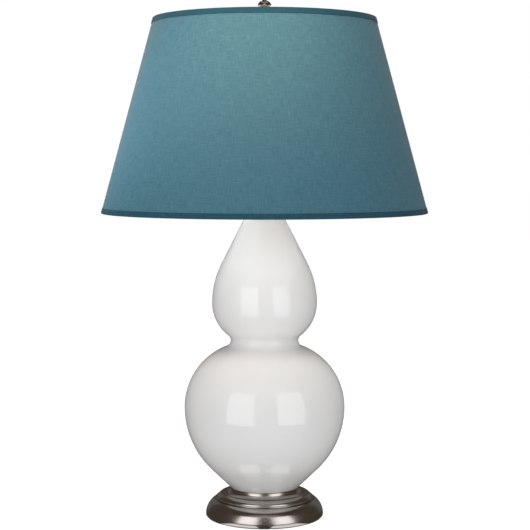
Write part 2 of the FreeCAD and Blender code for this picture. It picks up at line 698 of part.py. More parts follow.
def felt_pad():
    """The felt that the lamp stands on."""
    rim = size.foot_radius - size.felt_inset
    return turned("felt_pad", rectangle(size.underside_hole, rim, 0, level.foot_bottom))


def base_board():
    """The board inside the skirt that the felt is glued to."""
    rim = size.foot_radius - size.foot_wall - size.board_clearance
    top = level.foot_bottom + size.board_thickness
    return turned("base_board", rectangle(size.underside_hole, rim, level.foot_bottom, top))


def metal_foot():
    """The moulded foot: skirt, dome, thin bead, rounded step and hollow collar, open underneath,
    with a shoulder inside that meets the weight and a cup on top that takes the gourd."""
    dome = upright_radius(size.dome_run, size.dome_height)
    bead = bulge_radius(as_value(0), size.bead_height, size.bead_bulge)
    torus = bulge_radius(size.torus_run, size.torus_rise, size.torus_bulge)
    collar_run = level.collar_radius - level.lip_radius
    collar = bulge_radius(collar_run, size.collar_height, size.collar_hollow)
    inner_skirt = size.foot_radius - size.foot_wall
    seat_rim = level.weight_radius + size.weight_clearance
    inner_dome = upright_radius(inner_skirt - seat_rim, level.weight_top - level.dome_base)
    seat_inside = seat_rim - size.shoulder_width
    ceiling = level.deck - size.deck_thickness
    body = turned(
        "metal_foot",
        [
            (inner_skirt, level.foot_bottom),
            (size.foot_radius - size.edge_rounding, level.foot_bottom),
            (size.foot_radius, level.foot_bottom + size.edge_rounding, size.edge_rounding, LEFT),
            (size.foot_radius, level.dome_base),
            (level.dome_top_radius, level.dome_top, dome, LEFT),
            (level.bead_radius, level.dome_top),
            (level.bead_radius, level.bead_top, bead, LEFT),
            (level.torus_radius, level.bead_top),
            (level.torus_top_radius, level.torus_top, torus, LEFT),
            (level.collar_radius, level.torus_top),
            (level.lip_radius, level.collar_top, collar, RIGHT),
            (level.lip_radius, level.foot_top - size.lip_rounding),
            (level.lip_radius - size.lip_rounding, level.foot_top, size.lip_rounding, LEFT),
            (level.cup_radius, level.foot_top),
            (level.cup_radius, level.deck),
            (level.pipe_hole, level.deck),
            (level.pipe_hole, ceiling),
            (level.cup_radius - size.foot_wall, ceiling),
            (seat_inside, level.weight_top + size.foot_wall),
            (seat_inside, level.weight_top),
            (seat_rim, level.weight_top),
            (inner_skirt, level.dome_base, inner_dome, RIGHT),
        ],
    )
    outlet = new_sketch(body, "Outlet", lift=-seat_rim)
    draw_circle(outlet, 0, level.outlet, level.bushing_radius + size.pipe_clearance)
    pocket(body, outlet)
    flange_seat = new_sketch(body, "FlangeSeat", lift=-level.bushing_seat)
    draw_circle(flange_seat, 0, level.outlet, level.bushing_rim + size.pipe_clearance)
    pocket(body, flange_seat)
    return body


def cord_bushing():
    """The moulded bushing that lines the cord's way out through the skirt."""
    tail = -(size.foot_wall + size.bushing_tail)
    top = size.bushing_flange
    body = turned(
        "cord_bushing",
        [
            (size.outlet_radius, tail),
            (level.bushing_radius, tail),
            (level.bushing_radius, 0),
            (level.bushing_rim, 0),
            (level.bushing_rim, top - size.bushing_lap),
            (level.bushing_radius, top, size.bushing_lap, LEFT),
            (size.outlet_radius, top),
        ],
    )
    stand(body, TO_BACK, along=level.bushing_seat, up=level.outlet)
    return body


def iron_weight():
    """The cast weight that keeps the lamp on its foot."""
    bevel = size.weight_bevel
    return turned(
        "iron_weight",
        [
            (level.pipe_hole, level.weight_bottom),
            (level.weight_radius - bevel, level.weight_bottom),
            (level.weight_radius, level.weight_bottom + bevel),
            (level.weight_radius, level.weight_top),
            (level.pipe_hole, level.weight_top),
        ],
    )


def weight_washer():
    """The washer between weight and nut."""
    outline = rectangle(level.pipe_hole, size.washer_radius, level.washer_bottom, level.weight_bottom)
    return turned("weight_washer", outline)


def pipe_nut():
    """The nut at the lower end of the pipe."""
    return hex_nut("pipe_nut", size.pipe_nut_flats, size.pipe_nut_thickness, level.pipe_nut_bottom)


def lamp_pipe():
    """The threaded pipe that clamps foot, gourd, cap, saddle and socket together."""
    outline = rectangle(size.pipe_bore, size.pipe_radius, level.pipe_bottom, level.bowl)
    return turned("lamp_pipe", outline)


# Gourd ----------------------------------------------------------------------------------------


def toward(start, end):
    """The unit vector from one point to another."""
    return (end - start).normalize()


def round_angle(angle, distance):
    """The point at that angle and distance from the origin of a sketch."""
    return Vector(math.cos(angle), math.sin(angle), 0) * distance


def gourd_centres():
    """The centres of the arcs of the gourd's profile, found from how they touch."""
    low = level.lower_widest.number
    high = level.upper_widest.number
    wide = size.lower_bulb_radius.number
    slim = size.upper_bulb_radius.number
    under = Vector(wide - size.lower_under_radius.number, low, 0)
    over = Vector(wide - size.lower_over_radius.number, low, 0)
    upper_under = Vector(slim - size.upper_under_radius.number, high, 0)
    upper_over = Vector(slim - size.upper_over_radius.number, high, 0)
    hollow = Vector(size.neck_radius.number + size.neck_hollow.number, level.neck_start.number, 0)
    near = size.lower_over_radius.number + size.waist_radius.number
    far = size.upper_under_radius.number + size.waist_radius.number
    apart = (upper_under - over).Length
    along = (near**2 - far**2 + apart**2) / (2 * apart)
    line = toward(over, upper_under)
    aside = Vector(line.y, -line.x, 0) * math.sqrt(near**2 - along**2)
    waist = over + line * along + aside
    return under, over, waist, upper_under, upper_over, hollow


def gourd_profile(inset):
    """The points where the spans of the profile meet, and the arcs' centres with their turns, for
    a profile that lies that far inside the gourd's surface."""
    under, over, waist, upper_under, upper_over, hollow = gourd_centres()
    spoke = Vector(size.gourd_foot_radius.number, level.seam.number, 0) - under
    reach = size.lower_under_radius.number
    low_angle = math.atan2(spoke.y, spoke.x) + math.acos(reach / spoke.Length)
    span = hollow - upper_over
    reach_over = size.upper_over_radius.number
    reach_hollow = size.neck_hollow.number
    high_angle = math.atan2(span.y, span.x) - math.acos((reach_over + reach_hollow) / span.Length)
    foot = under + round_angle(low_angle, reach - inset)
    slope = round_angle(low_angle + math.pi / 2, 1)
    floor = (level.gourd_bottom + size.gourd_floor).number
    start_level = floor if inset else level.seam.number
    neck = size.neck_radius.number - inset
    points = [
        foot + slope * ((start_level - foot.y) / slope.y),
        foot,
        Vector(size.lower_bulb_radius.number - inset, level.lower_widest.number, 0),
        over + toward(over, waist) * (size.lower_over_radius.number - inset),
        waist + toward(waist, upper_under) * (size.waist_radius.number + inset),
        Vector(size.upper_bulb_radius.number - inset, level.upper_widest.number, 0),
        upper_over + round_angle(high_angle, reach_over - inset),
        hollow - round_angle(high_angle, reach_hollow + inset),
        Vector(neck, level.neck_start.number, 0),
        Vector(neck, level.mouth.number, 0),
    ]
    centres = [None, under, over, waist, upper_under, upper_over, None, hollow, None]
    turns = [None, LEFT, LEFT, RIGHT, LEFT, LEFT, None, RIGHT, None]
    return points, list(zip(centres, turns))


def draw_gourd_side(sketch, inset):
    """Draws one side of the gourd's wall from the bottom up, each span tangent to the next."""
    points, spans = gourd_profile(inset)
    side = []
    for start, end, (centre, turn) in zip(points, points[1:], spans):
        if centre is None:
            side.append((sketch.addGeometry(Part.LineSegment(start, end), False), 1, 2))
            continue
        arc = sketch.addGeometry(arc_round(centre, start, end, turn), False)
        side.append((arc, 1, 2) if turn == LEFT else (arc, 2, 1))
    for (one, _, end), (other, start, _) in zip(side, side[1:]):
        relate(sketch, "Tangent", one, end, other, start)
    return side


def fix_outer_side(sketch, side):
    """Ties the outer side of the gourd's wall to its sizes."""
    cone, under, over, waist, upper_under, upper_over, _, hollow, neck = side
    place(sketch, cone[0], cone[1], size.gourd_foot_radius, level.seam)
    place(sketch, over[0], over[1], size.lower_bulb_radius, level.lower_widest)
    place(sketch, upper_over[0], upper_over[1], size.upper_bulb_radius, level.upper_widest)
    place(sketch, hollow[0], hollow[2], size.neck_radius, level.neck_start)
    for arc, point in ((over, over[1]), (upper_over, upper_over[1]), (hollow, hollow[2])):
        relate(sketch, "Horizontal", arc[0], point, arc[0], 3)
    dimension(sketch, "DistanceY", -1, 1, neck[0], neck[2], level.mouth)
    dimension(sketch, "Radius", under[0], size.lower_under_radius)
    dimension(sketch, "Radius", over[0], size.lower_over_radius)
    dimension(sketch, "Radius", waist[0], size.waist_radius)
    dimension(sketch, "Radius", upper_under[0], size.upper_under_radius)
    dimension(sketch, "Radius", upper_over[0], size.upper_over_radius)
    dimension(sketch, "Radius", hollow[0], size.neck_hollow)


def fix_inner_side(sketch, side, outer):
    """Ties the inner side to the outer one: the same centres, and a wall's depth between them."""
    arcs = (1, 2, 3, 4, 5, 7)
    for index in arcs:
        relate(sketch, "Coincident", side[index][0], 3, outer[index][0], 3)
    over, hollow = side[2], side[7]
    dimension(sketch, "Radius", over[0], size.lower_over_radius - size.gourd_wall)
    dimension(sketch, "Radius", hollow[0], size.neck_hollow + size.gourd_wall)
    relate(sketch, "Horizontal", hollow[0], hollow[2], hollow[0], 3)
    relate(sketch, "Parallel", side[0][0], outer[0][0])
    floor = level.gourd_bottom + size.gourd_floor
    dimension(sketch, "DistanceY", -1, 1, side[0][0], side[0][1], floor)


def gourd_body():
    """The ceramic double gourd, a shell of even wall with a holed floor, open at the mouth, and
    with a spigot under its seam that stands in the foot's cup. Its two castings meet at the
    waist."""
    body = new_body("gourd_body")
    sketch = new_sketch(body, "Profile")
    outer = draw_gourd_side(sketch, 0.0)
    inner = draw_gourd_side(sketch, size.gourd_wall.number)
    fix_outer_side(sketch, outer)
    fix_inner_side(sketch, inner, outer)
    outer_points = gourd_profile(0.0)[0]
    inner_points = gourd_profile(size.gourd_wall.number)[0]
    corners = [
        inner_points[0],
        spot(size.gourd_floor_hole, level.gourd_bottom + size.gourd_floor),
        spot(size.gourd_floor_hole, level.gourd_bottom),
        spot(size.spigot_radius, level.gourd_bottom),
        spot(size.spigot_radius, level.seam),
        outer_points[0],
    ]
    lines = []
    for start, end in zip(corners, corners[1:]):
        lines.append(sketch.addGeometry(Part.LineSegment(start, end), False))
    for one, other in zip(lines, lines[1:]):
        relate(sketch, "Coincident", one, 2, other, 1)
    floor, hole, base, spigot, underside = lines
    relate(sketch, "Coincident", floor, 1, inner[0][0], inner[0][1])
    relate(sketch, "Horizontal", floor)
    relate(sketch, "Vertical", hole)
    place(sketch, base, 1, size.gourd_floor_hole, level.gourd_bottom)
    place(sketch, spigot, 1, size.spigot_radius, level.gourd_bottom)
    relate(sketch, "Vertical", spigot)
    relate(sketch, "Horizontal", underside)
    relate(sketch, "Coincident", underside, 2, outer[0][0], outer[0][1])
    mouth = sketch.addGeometry(Part.LineSegment(outer_points[-1], inner_points[-1]), False)
    relate(sketch, "Coincident", mouth, 1, outer[-1][0], outer[-1][2])
    relate(sketch, "Coincident", mouth, 2, inner[-1][0], inner[-1][2])
    relate(sketch, "Horizontal", mouth)
    revolve(body, sketch)
    joint = new_sketch(body, "CastingJoint")
    joint_top = level.joint_bottom + size.casting_gap
    draw(joint, rectangle(size.gourd_floor_hole, size.lower_bulb_radius, level.joint_bottom, joint_top))
    revolve(body, joint, "Groove")
    return body


def foot_gasket():
    """The foam ring between foot and gourd."""
    rim = size.spigot_radius - size.gasket_inset
    outline = rectangle(size.gourd_floor_hole, rim, level.deck, level.gourd_bottom)
    return turned("foot_gasket", outline)


def neck_gasket():
    """The rubber ring between mouth and vase cap."""
    outline = rectangle(level.mouth_radius, size.neck_radius, level.mouth, level.cap_seat)
    return turned("neck_gasket", outline)


# Fittings on the neck ---------------------------------------------------------------------------


def vase_cap():
    """The pressed cap that closes the neck and carries the fittings."""
    inner = size.neck_radius + size.vase_cap_clearance
    outer = inner + size.vase_cap_wall
    skirt = level.cap_seat - size.vase_cap_skirt
    dome = bulge_radius(outer - size.vase_cap_boss, size.vase_cap_rise, size.vase_cap_bulge)
    return turned(
        "vase_cap",
        [
            (inner, skirt),
            (outer, skirt),
            (outer, level.cap_shoulder),
            (size.vase_cap_boss, level.cap_top, dome, LEFT),
            (size.vase_cap_boss, level.spacer_bottom),
            (level.pipe_hole, level.spacer_bottom),
            (level.pipe_hole, level.cap_seat),
            (inner, level.cap_seat),
        ],
    )


def neck_spacer():
    """The turned spacer between vase cap and saddle."""
    low = level.spacer_bottom + size.spacer_rim
    high = level.saddle_bottom - size.spacer_rim
    hollow = bulge_radius(as_value(0), high - low, size.spacer_hollow)
    return turned(
        "neck_spacer",
        [
            (level.pipe_hole, level.spacer_bottom),
            (size.spacer_radius, level.spacer_bottom),
            (size.spacer_radius, low),
            (size.spacer_radius, high, hollow, RIGHT),
            (size.spacer_radius, level.saddle_bottom),
            (level.pipe_hole, level.saddle_bottom),
        ],
    )


def harp_saddle():
    """The bent strip that carries the harp: a flat with two ears, each ending in a tongue."""
    body = new_body("harp_saddle")
    strip = new_sketch(body, "Strip")
    outer_bend = size.saddle_bend + size.saddle_thickness
    reach = size.saddle_reach
    inside = level.ear_inside
    tip = level.tongue_top
    outer_corner = level.saddle_bottom + outer_bend
    inner_corner = level.saddle_top + size.saddle_bend
    draw(
        strip,
        [
            (-(reach - outer_bend), level.saddle_bottom, outer_bend, LEFT),
            (reach - outer_bend, level.saddle_bottom),
            (reach, outer_corner, outer_bend, LEFT),
            (reach, tip),
            (inside, tip),
            (inside, inner_corner),
            (inside - size.saddle_bend, level.saddle_top, size.saddle_bend, RIGHT),
            (-(inside - size.saddle_bend), level.saddle_top),
            (-inside, inner_corner, size.saddle_bend, RIGHT),
            (-inside, tip),
            (-reach, tip),
            (-reach, outer_corner),
        ],
    )
    pad(body, strip, size.saddle_width, both_ways=True)
    hole = new_sketch(body, "PipeHole", "XY_Plane", level.saddle_bottom)
    draw_circle(hole, 0, 0, level.pipe_hole)
    pocket(body, hole, along_normal=True)
    sides = new_sketch(body, "TongueSides", "YZ_Plane")
    half_tongue = size.tongue_width / 2
    above = tip + size.saddle_thickness
    draw(sides, rectangle(half_tongue, size.saddle_width, level.ear_top, above))
    draw(sides, rectangle(-size.saddle_width, -half_tongue, level.ear_top, above))
    pocket(body, sides, both_ways=True)
    return body


def saddle_nut():
    """The thin nut that holds the saddle on the pipe."""
    return hex_nut("saddle_nut", size.saddle_nut_flats, size.saddle_nut_thickness, level.saddle_top)


# Socket -----------------------------------------------------------------------------------------


def socket_cap():
    """The pressed cap: a hub on the pipe and a round-bottomed bowl."""
    wall = size.socket_wall
    rounding = size.socket_cap_round
    outer = size.socket_cap_radius
    body = turned(
        "socket_cap",
        [
            (level.pipe_hole, level.socket_bottom),
            (size.hub_neck_radius, level.socket_bottom),
            (size.hub_neck_radius, level.bowl),
            (outer - rounding, level.bowl),
            (outer, level.bowl + rounding, rounding, LEFT),
            (outer, level.cap_rim),
            (outer - wall, level.cap_rim),
            (outer - wall, level.bowl + rounding),
            (outer - rounding, level.bowl + wall, rounding - wall, RIGHT),
            (level.pipe_hole, level.bowl + wall),
        ],
    )
    hole = new_sketch(body, "ScrewHole")
    draw_circle(hole, 0, level.set_screw, size.set_screw_radius + size.fit_gap)
    pocket(body, hole)
    return body


def cap_screw():
    """The slotted screw that locks the cap's hub on the pipe."""
    seat = size.hub_neck_radius
    top = seat + size.set_screw_head_height
    body = turned(
        "cap_screw",
        [
            (0, level.pipe_hole),
            (size.set_screw_radius, level.pipe_hole),
            (size.set_screw_radius, seat),
            (size.set_screw_head, seat),
            (size.set_screw_head, top),
            (0, top),
        ],
    )
    slot = new_sketch(body, "Slot", "YZ_Plane")
    half_slot = size.slot_width / 2
    draw(slot, rectangle(-half_slot, half_slot, top - size.slot_depth, top + size.slot_depth))
    pocket(body, slot, both_ways=True)
    stand(body, TO_BACK, up=level.set_screw)
    return body


def socket_shell():
    """The pressed shell round the socket, with two beads and a hole for the switch shaft."""
    bead = bulge_radius(as_value(0), size.shell_bead_height, size.shell_bead)
    radius = level.shell_radius
    inside = radius - size.socket_wall
    upper_top = level.shell_top - size.shell_bead_drop
    upper_low = upper_top - size.shell_bead_height
    lower_top = upper_top - size.shell_bead_pitch
    lower_low = lower_top - size.shell_bead_height
    body = turned(
        "socket_shell",
        [
            (inside, level.shell_bottom),
            (radius, level.shell_bottom),
            (radius, lower_low),
            (radius, lower_top, bead, LEFT),
            (radius, upper_low),
            (radius, upper_top, bead, LEFT),
            (radius, level.shell_top),
            (inside, level.shell_top),
            (inside, upper_top),
            (inside, upper_low, bead, RIGHT),
            (inside, lower_top),
            (inside, lower_low, bead, RIGHT),
        ],
    )
    cut_shaft_hole(body)
    return body


def cut_shaft_hole(body):
    """Cuts the hole for the switch shaft through the front wall of a piece of the socket."""
    hole = new_sketch(body, "ShaftHole")
    draw_circle(hole, 0, level.shaft, size.shaft_radius + size.shaft_passage)
    pocket(body, hole, along_normal=True)


def shell_sleeve():
    """The insulating sleeve inside the shell."""
    inside = level.sleeve_radius - size.sleeve_thickness
    outline = rectangle(inside, level.sleeve_radius, level.shell_bottom, level.shell_top)
    body = turned("shell_sleeve", outline)
    cut_shaft_hole(body)
    return body


def socket_core():
    """The moulded core: a foot with a well for the wires, pockets for the terminal screws and a
    bore for the switch shaft."""
    shoulder = level.core_bottom + size.core_foot_height
    body = turned(
        "socket_core",
        [
            (size.core_well_radius, level.core_bottom),
            (size.core_foot_radius, level.core_bottom),
            (size.core_foot_radius, shoulder),
            (size.core_radius, shoulder),
            (size.core_radius, level.core_top),
            (0, level.core_top),
            (0, shoulder),
            (size.core_well_radius, shoulder),
        ],
    )
    for name, side in SIDES:
        recess = new_sketch(body, f"Recess_{name}", "YZ_Plane", level.terminal_seat * side)
        draw_circle(recess, 0, level.terminals, size.terminal_pocket)
        pocket(body, recess, along_normal=side > 0)
        hole = new_sketch(body, f"ScrewHole_{name}", "YZ_Plane", level.terminal_end * side)
        draw_circle(hole, 0, level.terminals, size.terminal_shank + size.fit_gap)
        pocket(body, hole, along_normal=side > 0)
    bore = new_sketch(body, "ShaftBore", lift=size.shaft_start)
    draw_circle(bore, 0, level.shaft, size.shaft_radius + size.shaft_clearance)
    pocket(body, bore, along_normal=True)
    return body


def terminal_screws():
    """The two screws that hold the cord's wires, one at each side of the core."""
    body = new_body("terminal_screws")
    for name, side in SIDES:
        shank = new_sketch(body, f"Shank_{name}", "YZ_Plane", level.terminal_end * side)
        draw_circle(shank, 0, level.terminals, size.terminal_shank)
        pad(body, shank, size.terminal_length, reverse=side < 0)
        head = new_sketch(body, f"Head_{name}", "YZ_Plane", level.terminal_seat * side)
        draw_circle(head, 0, level.terminals, size.terminal_head)
        pad(body, head, size.terminal_head_height, reverse=side < 0)
    slots = new_sketch(body, "Slots")
    low = level.terminals - size.slot_width / 2
    high = level.terminals + size.slot_width / 2
    far = level.terminal_seat + size.terminal_head_height + size.slot_depth
    near = level.terminal_seat + size.terminal_head_height - size.slot_depth
    draw(slots, rectangle(near, far, low, high))
    draw(slots, rectangle(-far, -near, low, high))
    pocket(body, slots, both_ways=True)
    return body


def screw_shell():
    """The brass shell that the bulb screws into."""
    inside = size.screw_shell_radius - size.screw_shell_wall
    top = level.core_top + size.screw_shell_height
    return turned("screw_shell", rectangle(inside, size.screw_shell_radius, level.core_top, top))


def centre_contact():
    """The bent brass strip that meets the bulb's contact."""
    body = new_body("centre_contact")
    side = new_sketch(body, "Side")
    low = level.core_top
    high = low + size.contact_rise
    thick = size.contact_thickness
    reach = size.contact_reach
    bend = -reach / 2
    step = bend + size.contact_rise
    draw(
        side,
        [
            (-reach, low),
            (bend, low),
            (step, high - thick),
            (reach / 2, high - thick),
            (reach / 2, high),
            (step - thick / 2, high),
            (bend - thick / 2, low + thick),
            (-reach, low + thick),
        ],
    )
    pad(body, side, size.contact_width, both_ways=True)
    return body


def switch_shaft():
    """The shaft of the turn switch."""
    outline = rectangle(0, size.shaft_radius, size.shaft_start, size.shaft_end)
    body = turned("switch_shaft", outline)
    stand(body, TO_FRONT, up=level.shaft)
    return body


def switch_knob():
    """The fluted knob on the shaft."""
    start = size.knob_start
    end = start + size.knob_length
    bore = size.shaft_radius + size.fit_gap
    body = turned(
        "switch_knob",
        [
            (bore, start),
            (size.knob_radius, start),
            (size.knob_radius, end - size.knob_rounding),
            (size.knob_radius - size.knob_rounding, end, size.knob_rounding, LEFT),
            (0, end),
            (0, size.shaft_end),
            (bore, size.shaft_end),
        ],
    )
    flute = new_sketch(body, "Flute", "XY_Plane", start + size.knob_rounding)
    draw_circle(flute, size.knob_radius, 0, size.knob_flute)
    cut = pocket(body, flute, along_normal=True)
    repeat_round(body, cut, size.knob_flutes)
    stand(body, TO_FRONT, up=level.shaft)
    return body


# Bulb -------------------------------------------------------------------------------------------

# Where the round crown of the bulb passes into the neck's curve, as shares of the bulb's radius
CROWN_REACH = 0.92
CROWN_DROP = math.sqrt(1 - CROWN_REACH**2)


def glass_side(inset):
    """The corners of one side of the bulb's glass, from inside the screw cap to the top."""
    ball = size.bulb_radius - inset
    stem = level.bulb_cap_radius - size.bulb_cap_wall - size.bulb_play - inset
    neck = size.bulb_neck_radius - inset
    neck_top = level.bulb_cap_top + size.bulb_neck_rise
    reach = ball * CROWN_REACH
    crown = level.bulb_widest - ball * CROWN_DROP
    curve = bulge_radius(reach - neck, crown - neck_top, size.bulb_hollow)
    return [
        (stem, level.bulb_cap_top - size.bulb_stem),
        (stem, level.bulb_cap_top + size.bulb_play),
        (neck, neck_top),
        (reach, crown, curve, RIGHT),
        (ball, level.bulb_widest, ball, LEFT),
        (0, level.bulb_top - inset, ball, LEFT),
    ]


def bulb_glass():
    """The bulb's glass, a thin shell."""
    outer = glass_side(as_value(0))
    inner = glass_side(size.bulb_glass_wall)
    back = [inner[-1][:2]]
    for corner, after in zip(inner[-2::-1], inner[:0:-1]):
        if len(after) == 2:
            back.append(corner[:2])
            continue
        turn = RIGHT if after[3] == LEFT else LEFT
        back.append((*corner[:2], after[2], turn))
    return turned("bulb_glass", outer + back)


def bulb_cap():
    """The bulb's screw cap."""
    inside = level.bulb_cap_radius - size.bulb_cap_wall
    outline = rectangle(inside, level.bulb_cap_radius, level.bulb_cap_bottom, level.bulb_cap_top)
    return turned("bulb_cap", outline)


def bulb_insulator():
    """The insulator that closes the screw cap."""
    return turned(
        "bulb_insulator",
        [
            (0, level.insulator_bottom),
            (size.bulb_contact_radius, level.insulator_bottom),
            (level.bulb_cap_radius - size.bulb_cap_wall, level.bulb_cap_bottom),
            (0, level.bulb_cap_bottom),
        ],
    )


def bulb_contact():
    """The contact under the insulator."""
    outline = rectangle(0, size.bulb_contact_radius, level.bulb_bottom, level.insulator_bottom)
    return turned("bulb_contact", outline)


# Harp -------------------------------------------------------------------------------------------


def harp_half():
    """The corners of the right half of the harp's wire, from its leg to its crown: a straight leg,
    two equal bends outward, a long bow and a tighter bend into the crown."""
    turn_out = level.harp_waist - level.leg_top
    step_out = size.harp_half_width - level.leg
    curl = (step_out * step_out + turn_out * turn_out) / (4 * step_out)
    across = size.harp_half_width - size.harp_flat
    up = level.crown_wire - size.harp_shoulder - level.harp_waist
    bend = size.harp_shoulder
    bow = (across * across + up * up - bend * bend) / (2 * (across - bend))
    bow_centre = size.harp_half_width - bow
    bend_centre = level.crown_wire - bend
    share = bend / (bow - bend)
    join_across = size.harp_flat + (size.harp_flat - bow_centre) * share
    join_up = bend_centre + (bend_centre - level.harp_waist) * share
    middle = (level.leg + size.harp_half_width) / 2
    return [
        (level.leg, level.leg_bottom),
        (level.leg, level.leg_top),
        (middle, (level.leg_top + level.harp_waist) / 2, curl, RIGHT),
        (size.harp_half_width, level.harp_waist, curl, LEFT),
        (join_across, join_up, bow, LEFT),
        (size.harp_flat, level.crown_wire, bend, LEFT),
    ]


def harp():
    """The wire bow over the bulb, with an eye in its crown that carries the stud."""
    body = new_body("harp")
    right = harp_half()
    left = [(-right[-1][0], right[-1][1])]
    for corner, after in zip(right[-2::-1], right[:0:-1]):
        left.append((-corner[0], corner[1], *after[2:]))
    spine = new_sketch(body, "Spine")
    draw(spine, right + left, closed=False)
    wire = new_sketch(body, "Wire", "XY_Plane", level.leg_bottom)
    draw_circle(wire, level.leg, 0, size.harp_wire_radius)
    sweep(body, wire, spine)
    eye = new_sketch(body, "Eye")
    inner = size.stud_shank + size.stud_clearance
    draw(eye, rectangle(inner, size.crown_radius, level.crown_bottom, level.crown_top))
    revolve(body, eye)
    bore = new_sketch(body, "Bore", "XY_Plane", level.crown_bottom - size.harp_wire_radius)
    draw_circle(bore, 0, 0, inner)
    pocket(body, bore, along_normal=True)
    return body


def harp_stud():
    """The stud riveted into the harp's eye, free to turn, with a shoulder and a threaded post."""
    head_top = level.crown_bottom - size.swivel_gap
    head_bottom = head_top - size.stud_head_height
    post_top = level.stud_shoulder + size.stud_post_height
    return turned(
        "harp_stud",
        [
            (0, head_bottom),
            (size.stud_head_radius, head_bottom),
            (size.stud_head_radius, head_top),
            (size.stud_shank, head_top),
            (size.stud_shank, level.flange_bottom),
            (size.stud_flange_radius, level.flange_bottom),
            (size.stud_flange_radius, level.stud_shoulder),
            (size.stud_post_radius, level.stud_shoulder),
            (size.stud_post_radius, post_top),
            (0, post_top),
        ],
    )


def harp_ferrules():
    """The two sleeves that lock the harp's legs to the saddle's tongues."""
    bead = bulge_radius(as_value(0), size.ferrule_height, size.ferrule_bead)
    for name, side in SIDES:
        body = turned(
            f"harp_ferrule_{name}",
            [
                (level.ferrule_bore, 0),
                (level.ferrule_radius, 0),
                (level.ferrule_radius, size.ferrule_height, bead, LEFT),
                (level.ferrule_bore, size.ferrule_height),
            ],
        )
        stand(body, UPRIGHT, across=level.ferrule_axis * side, up=level.leg_bottom)


# Shade ------------------------------------------------------------------------------------------


def shade_layer(node, depth, thickness):
    """One layer of the shade's wall, that deep under the fabric's face."""
    low = size.shade_bottom_radius - depth
    high = size.shade_top_radius - depth
    return turned(
        node,
        [
            (low - thickness, level.fabric_bottom),
            (low, level.fabric_bottom),
            (high, level.fabric_top),
            (high - thickness, level.fabric_top),
        ],
    )


def shade_fabric():
    """The linen outside."""
    return shade_layer("shade_fabric", as_value(0), size.fabric_thickness)


def shade_liner():
    """The stiff white liner that the fabric is glued to."""
    depth = size.fabric_thickness + size.glue_line
    return shade_layer("shade_liner", depth, size.liner_thickness)


def wire_ring(node, radius, height):
    """A ring of wire inside the shade's edge."""
    body = new_body(node)
    section = new_sketch(body, "Section")
    draw_circle(section, radius, height, size.ring_wire_radius)
    revolve(body, section)
    return body


def shade_trim(node, edge, inward, rim_radius, ring_radius):
    """The folded band over one edge of the shade: a strip outside and a lap over wall and ring.
    Inward is the side on which the shade lies, 1 for above the edge and -1 for below it."""
    cover = edge + size.trim_thickness * inward
    end = edge + size.trim_width * inward
    lean = (size.trim_width - size.trim_thickness) * level.taper * -inward
    inner = rim_radius + size.glue_line
    outer = inner + size.trim_thickness
    inside = ring_radius - size.ring_wire_radius
    corners = [
        (inside, edge),
        (inside, cover),
        (inner, cover),
        (inner + lean, end),
        (outer + lean, end),
        (outer, edge),
    ]
    return turned(node, corners)


def shade_edges():
    """Ring wires and trim at both edges of the shade."""
    top, bottom = level.top_ring_radius, level.bottom_ring_radius
    wire_ring("shade_top_ring", top, level.top_ring)
    wire_ring("shade_bottom_ring", bottom, level.bottom_ring)
    shade_trim("shade_top_trim", level.shade_top, -1, size.shade_top_radius, top)
    shade_trim("shade_bottom_trim", level.shade_bottom, 1, size.shade_bottom_radius, bottom)


def spider_hub():
    """The washer in the middle of the spider, on the stud's shoulder."""
    outline = rectangle(level.hub_bore, size.hub_radius, level.stud_shoulder, level.hub_top)
    return turned("spider_hub", outline)


def spider_arms():
    """The wires from the hub to the upper ring, each bent up at its end."""
    body = new_body("spider_arms")
    spine = new_sketch(body, "Spine")
    start = size.hub_radius + size.weld_gap
    bend = size.arm_bend
    draw(
        spine,
        [
            (start, level.arm),
            (level.top_ring_radius - bend, level.arm),
            (level.top_ring_radius, level.arm + bend, bend, LEFT),
            (level.top_ring_radius, level.arm_end),
        ],
        closed=False,
    )
    wire = new_sketch(body, "Wire", "YZ_Plane", start)
    draw_circle(wire, 0, level.arm, size.arm_wire_radius)
    arm = sweep(body, wire, spine)
    repeat_round(body, arm, size.arm_count)
    return body


# Finial -----------------------------------------------------------------------------------------


def finial():
    """The turned finial: base, stem, dome, neck and ball, bored for its insert."""
    bore = level.insert_radius + size.fit_gap
    flare_start = level.dome_edge - size.finial_flare
    stem = bulge_radius(as_value(0), flare_start - level.stem_bottom, size.finial_stem_hollow)
    spread = size.finial_dome_radius - size.finial_stem_radius
    flare = bulge_radius(spread, size.finial_flare, size.finial_flare_hollow)
    dome_in = size.finial_dome_radius - size.finial_neck_radius
    dome = bulge_radius(dome_in, size.finial_dome_rise, size.finial_dome_bulge)
    ball = size.finial_ball_radius
    drop = square_root(ball * ball - size.finial_neck_radius * size.finial_neck_radius)
    centre = level.ball_bottom + drop
    return turned(
        "finial",
        [
            (bore, level.finial_bottom),
            (size.finial_base_radius, level.finial_bottom),
            (size.finial_base_radius, level.stem_bottom),
            (size.finial_stem_radius, level.stem_bottom),
            (size.finial_stem_radius, flare_start, stem, RIGHT),
            (size.finial_dome_radius, level.dome_edge, flare, RIGHT),
            (size.finial_dome_radius, level.dome_shoulder),
            (size.finial_neck_radius, level.finial_dome_top, dome, LEFT),
            (size.finial_neck_radius, level.ball_bottom),
            (ball, centre, ball, LEFT),
            (0, centre + ball, ball, LEFT),
            (0, level.insert_top),
            (bore, level.insert_top),
        ],
    )


def finial_insert():
    """The threaded insert that screws onto the stud's post."""
    outline = rectangle(level.insert_bore, level.insert_radius, level.finial_bottom, level.insert_top)
    return turned("finial_insert", outline)


# The lamp ---------------------------------------------------------------------------------------

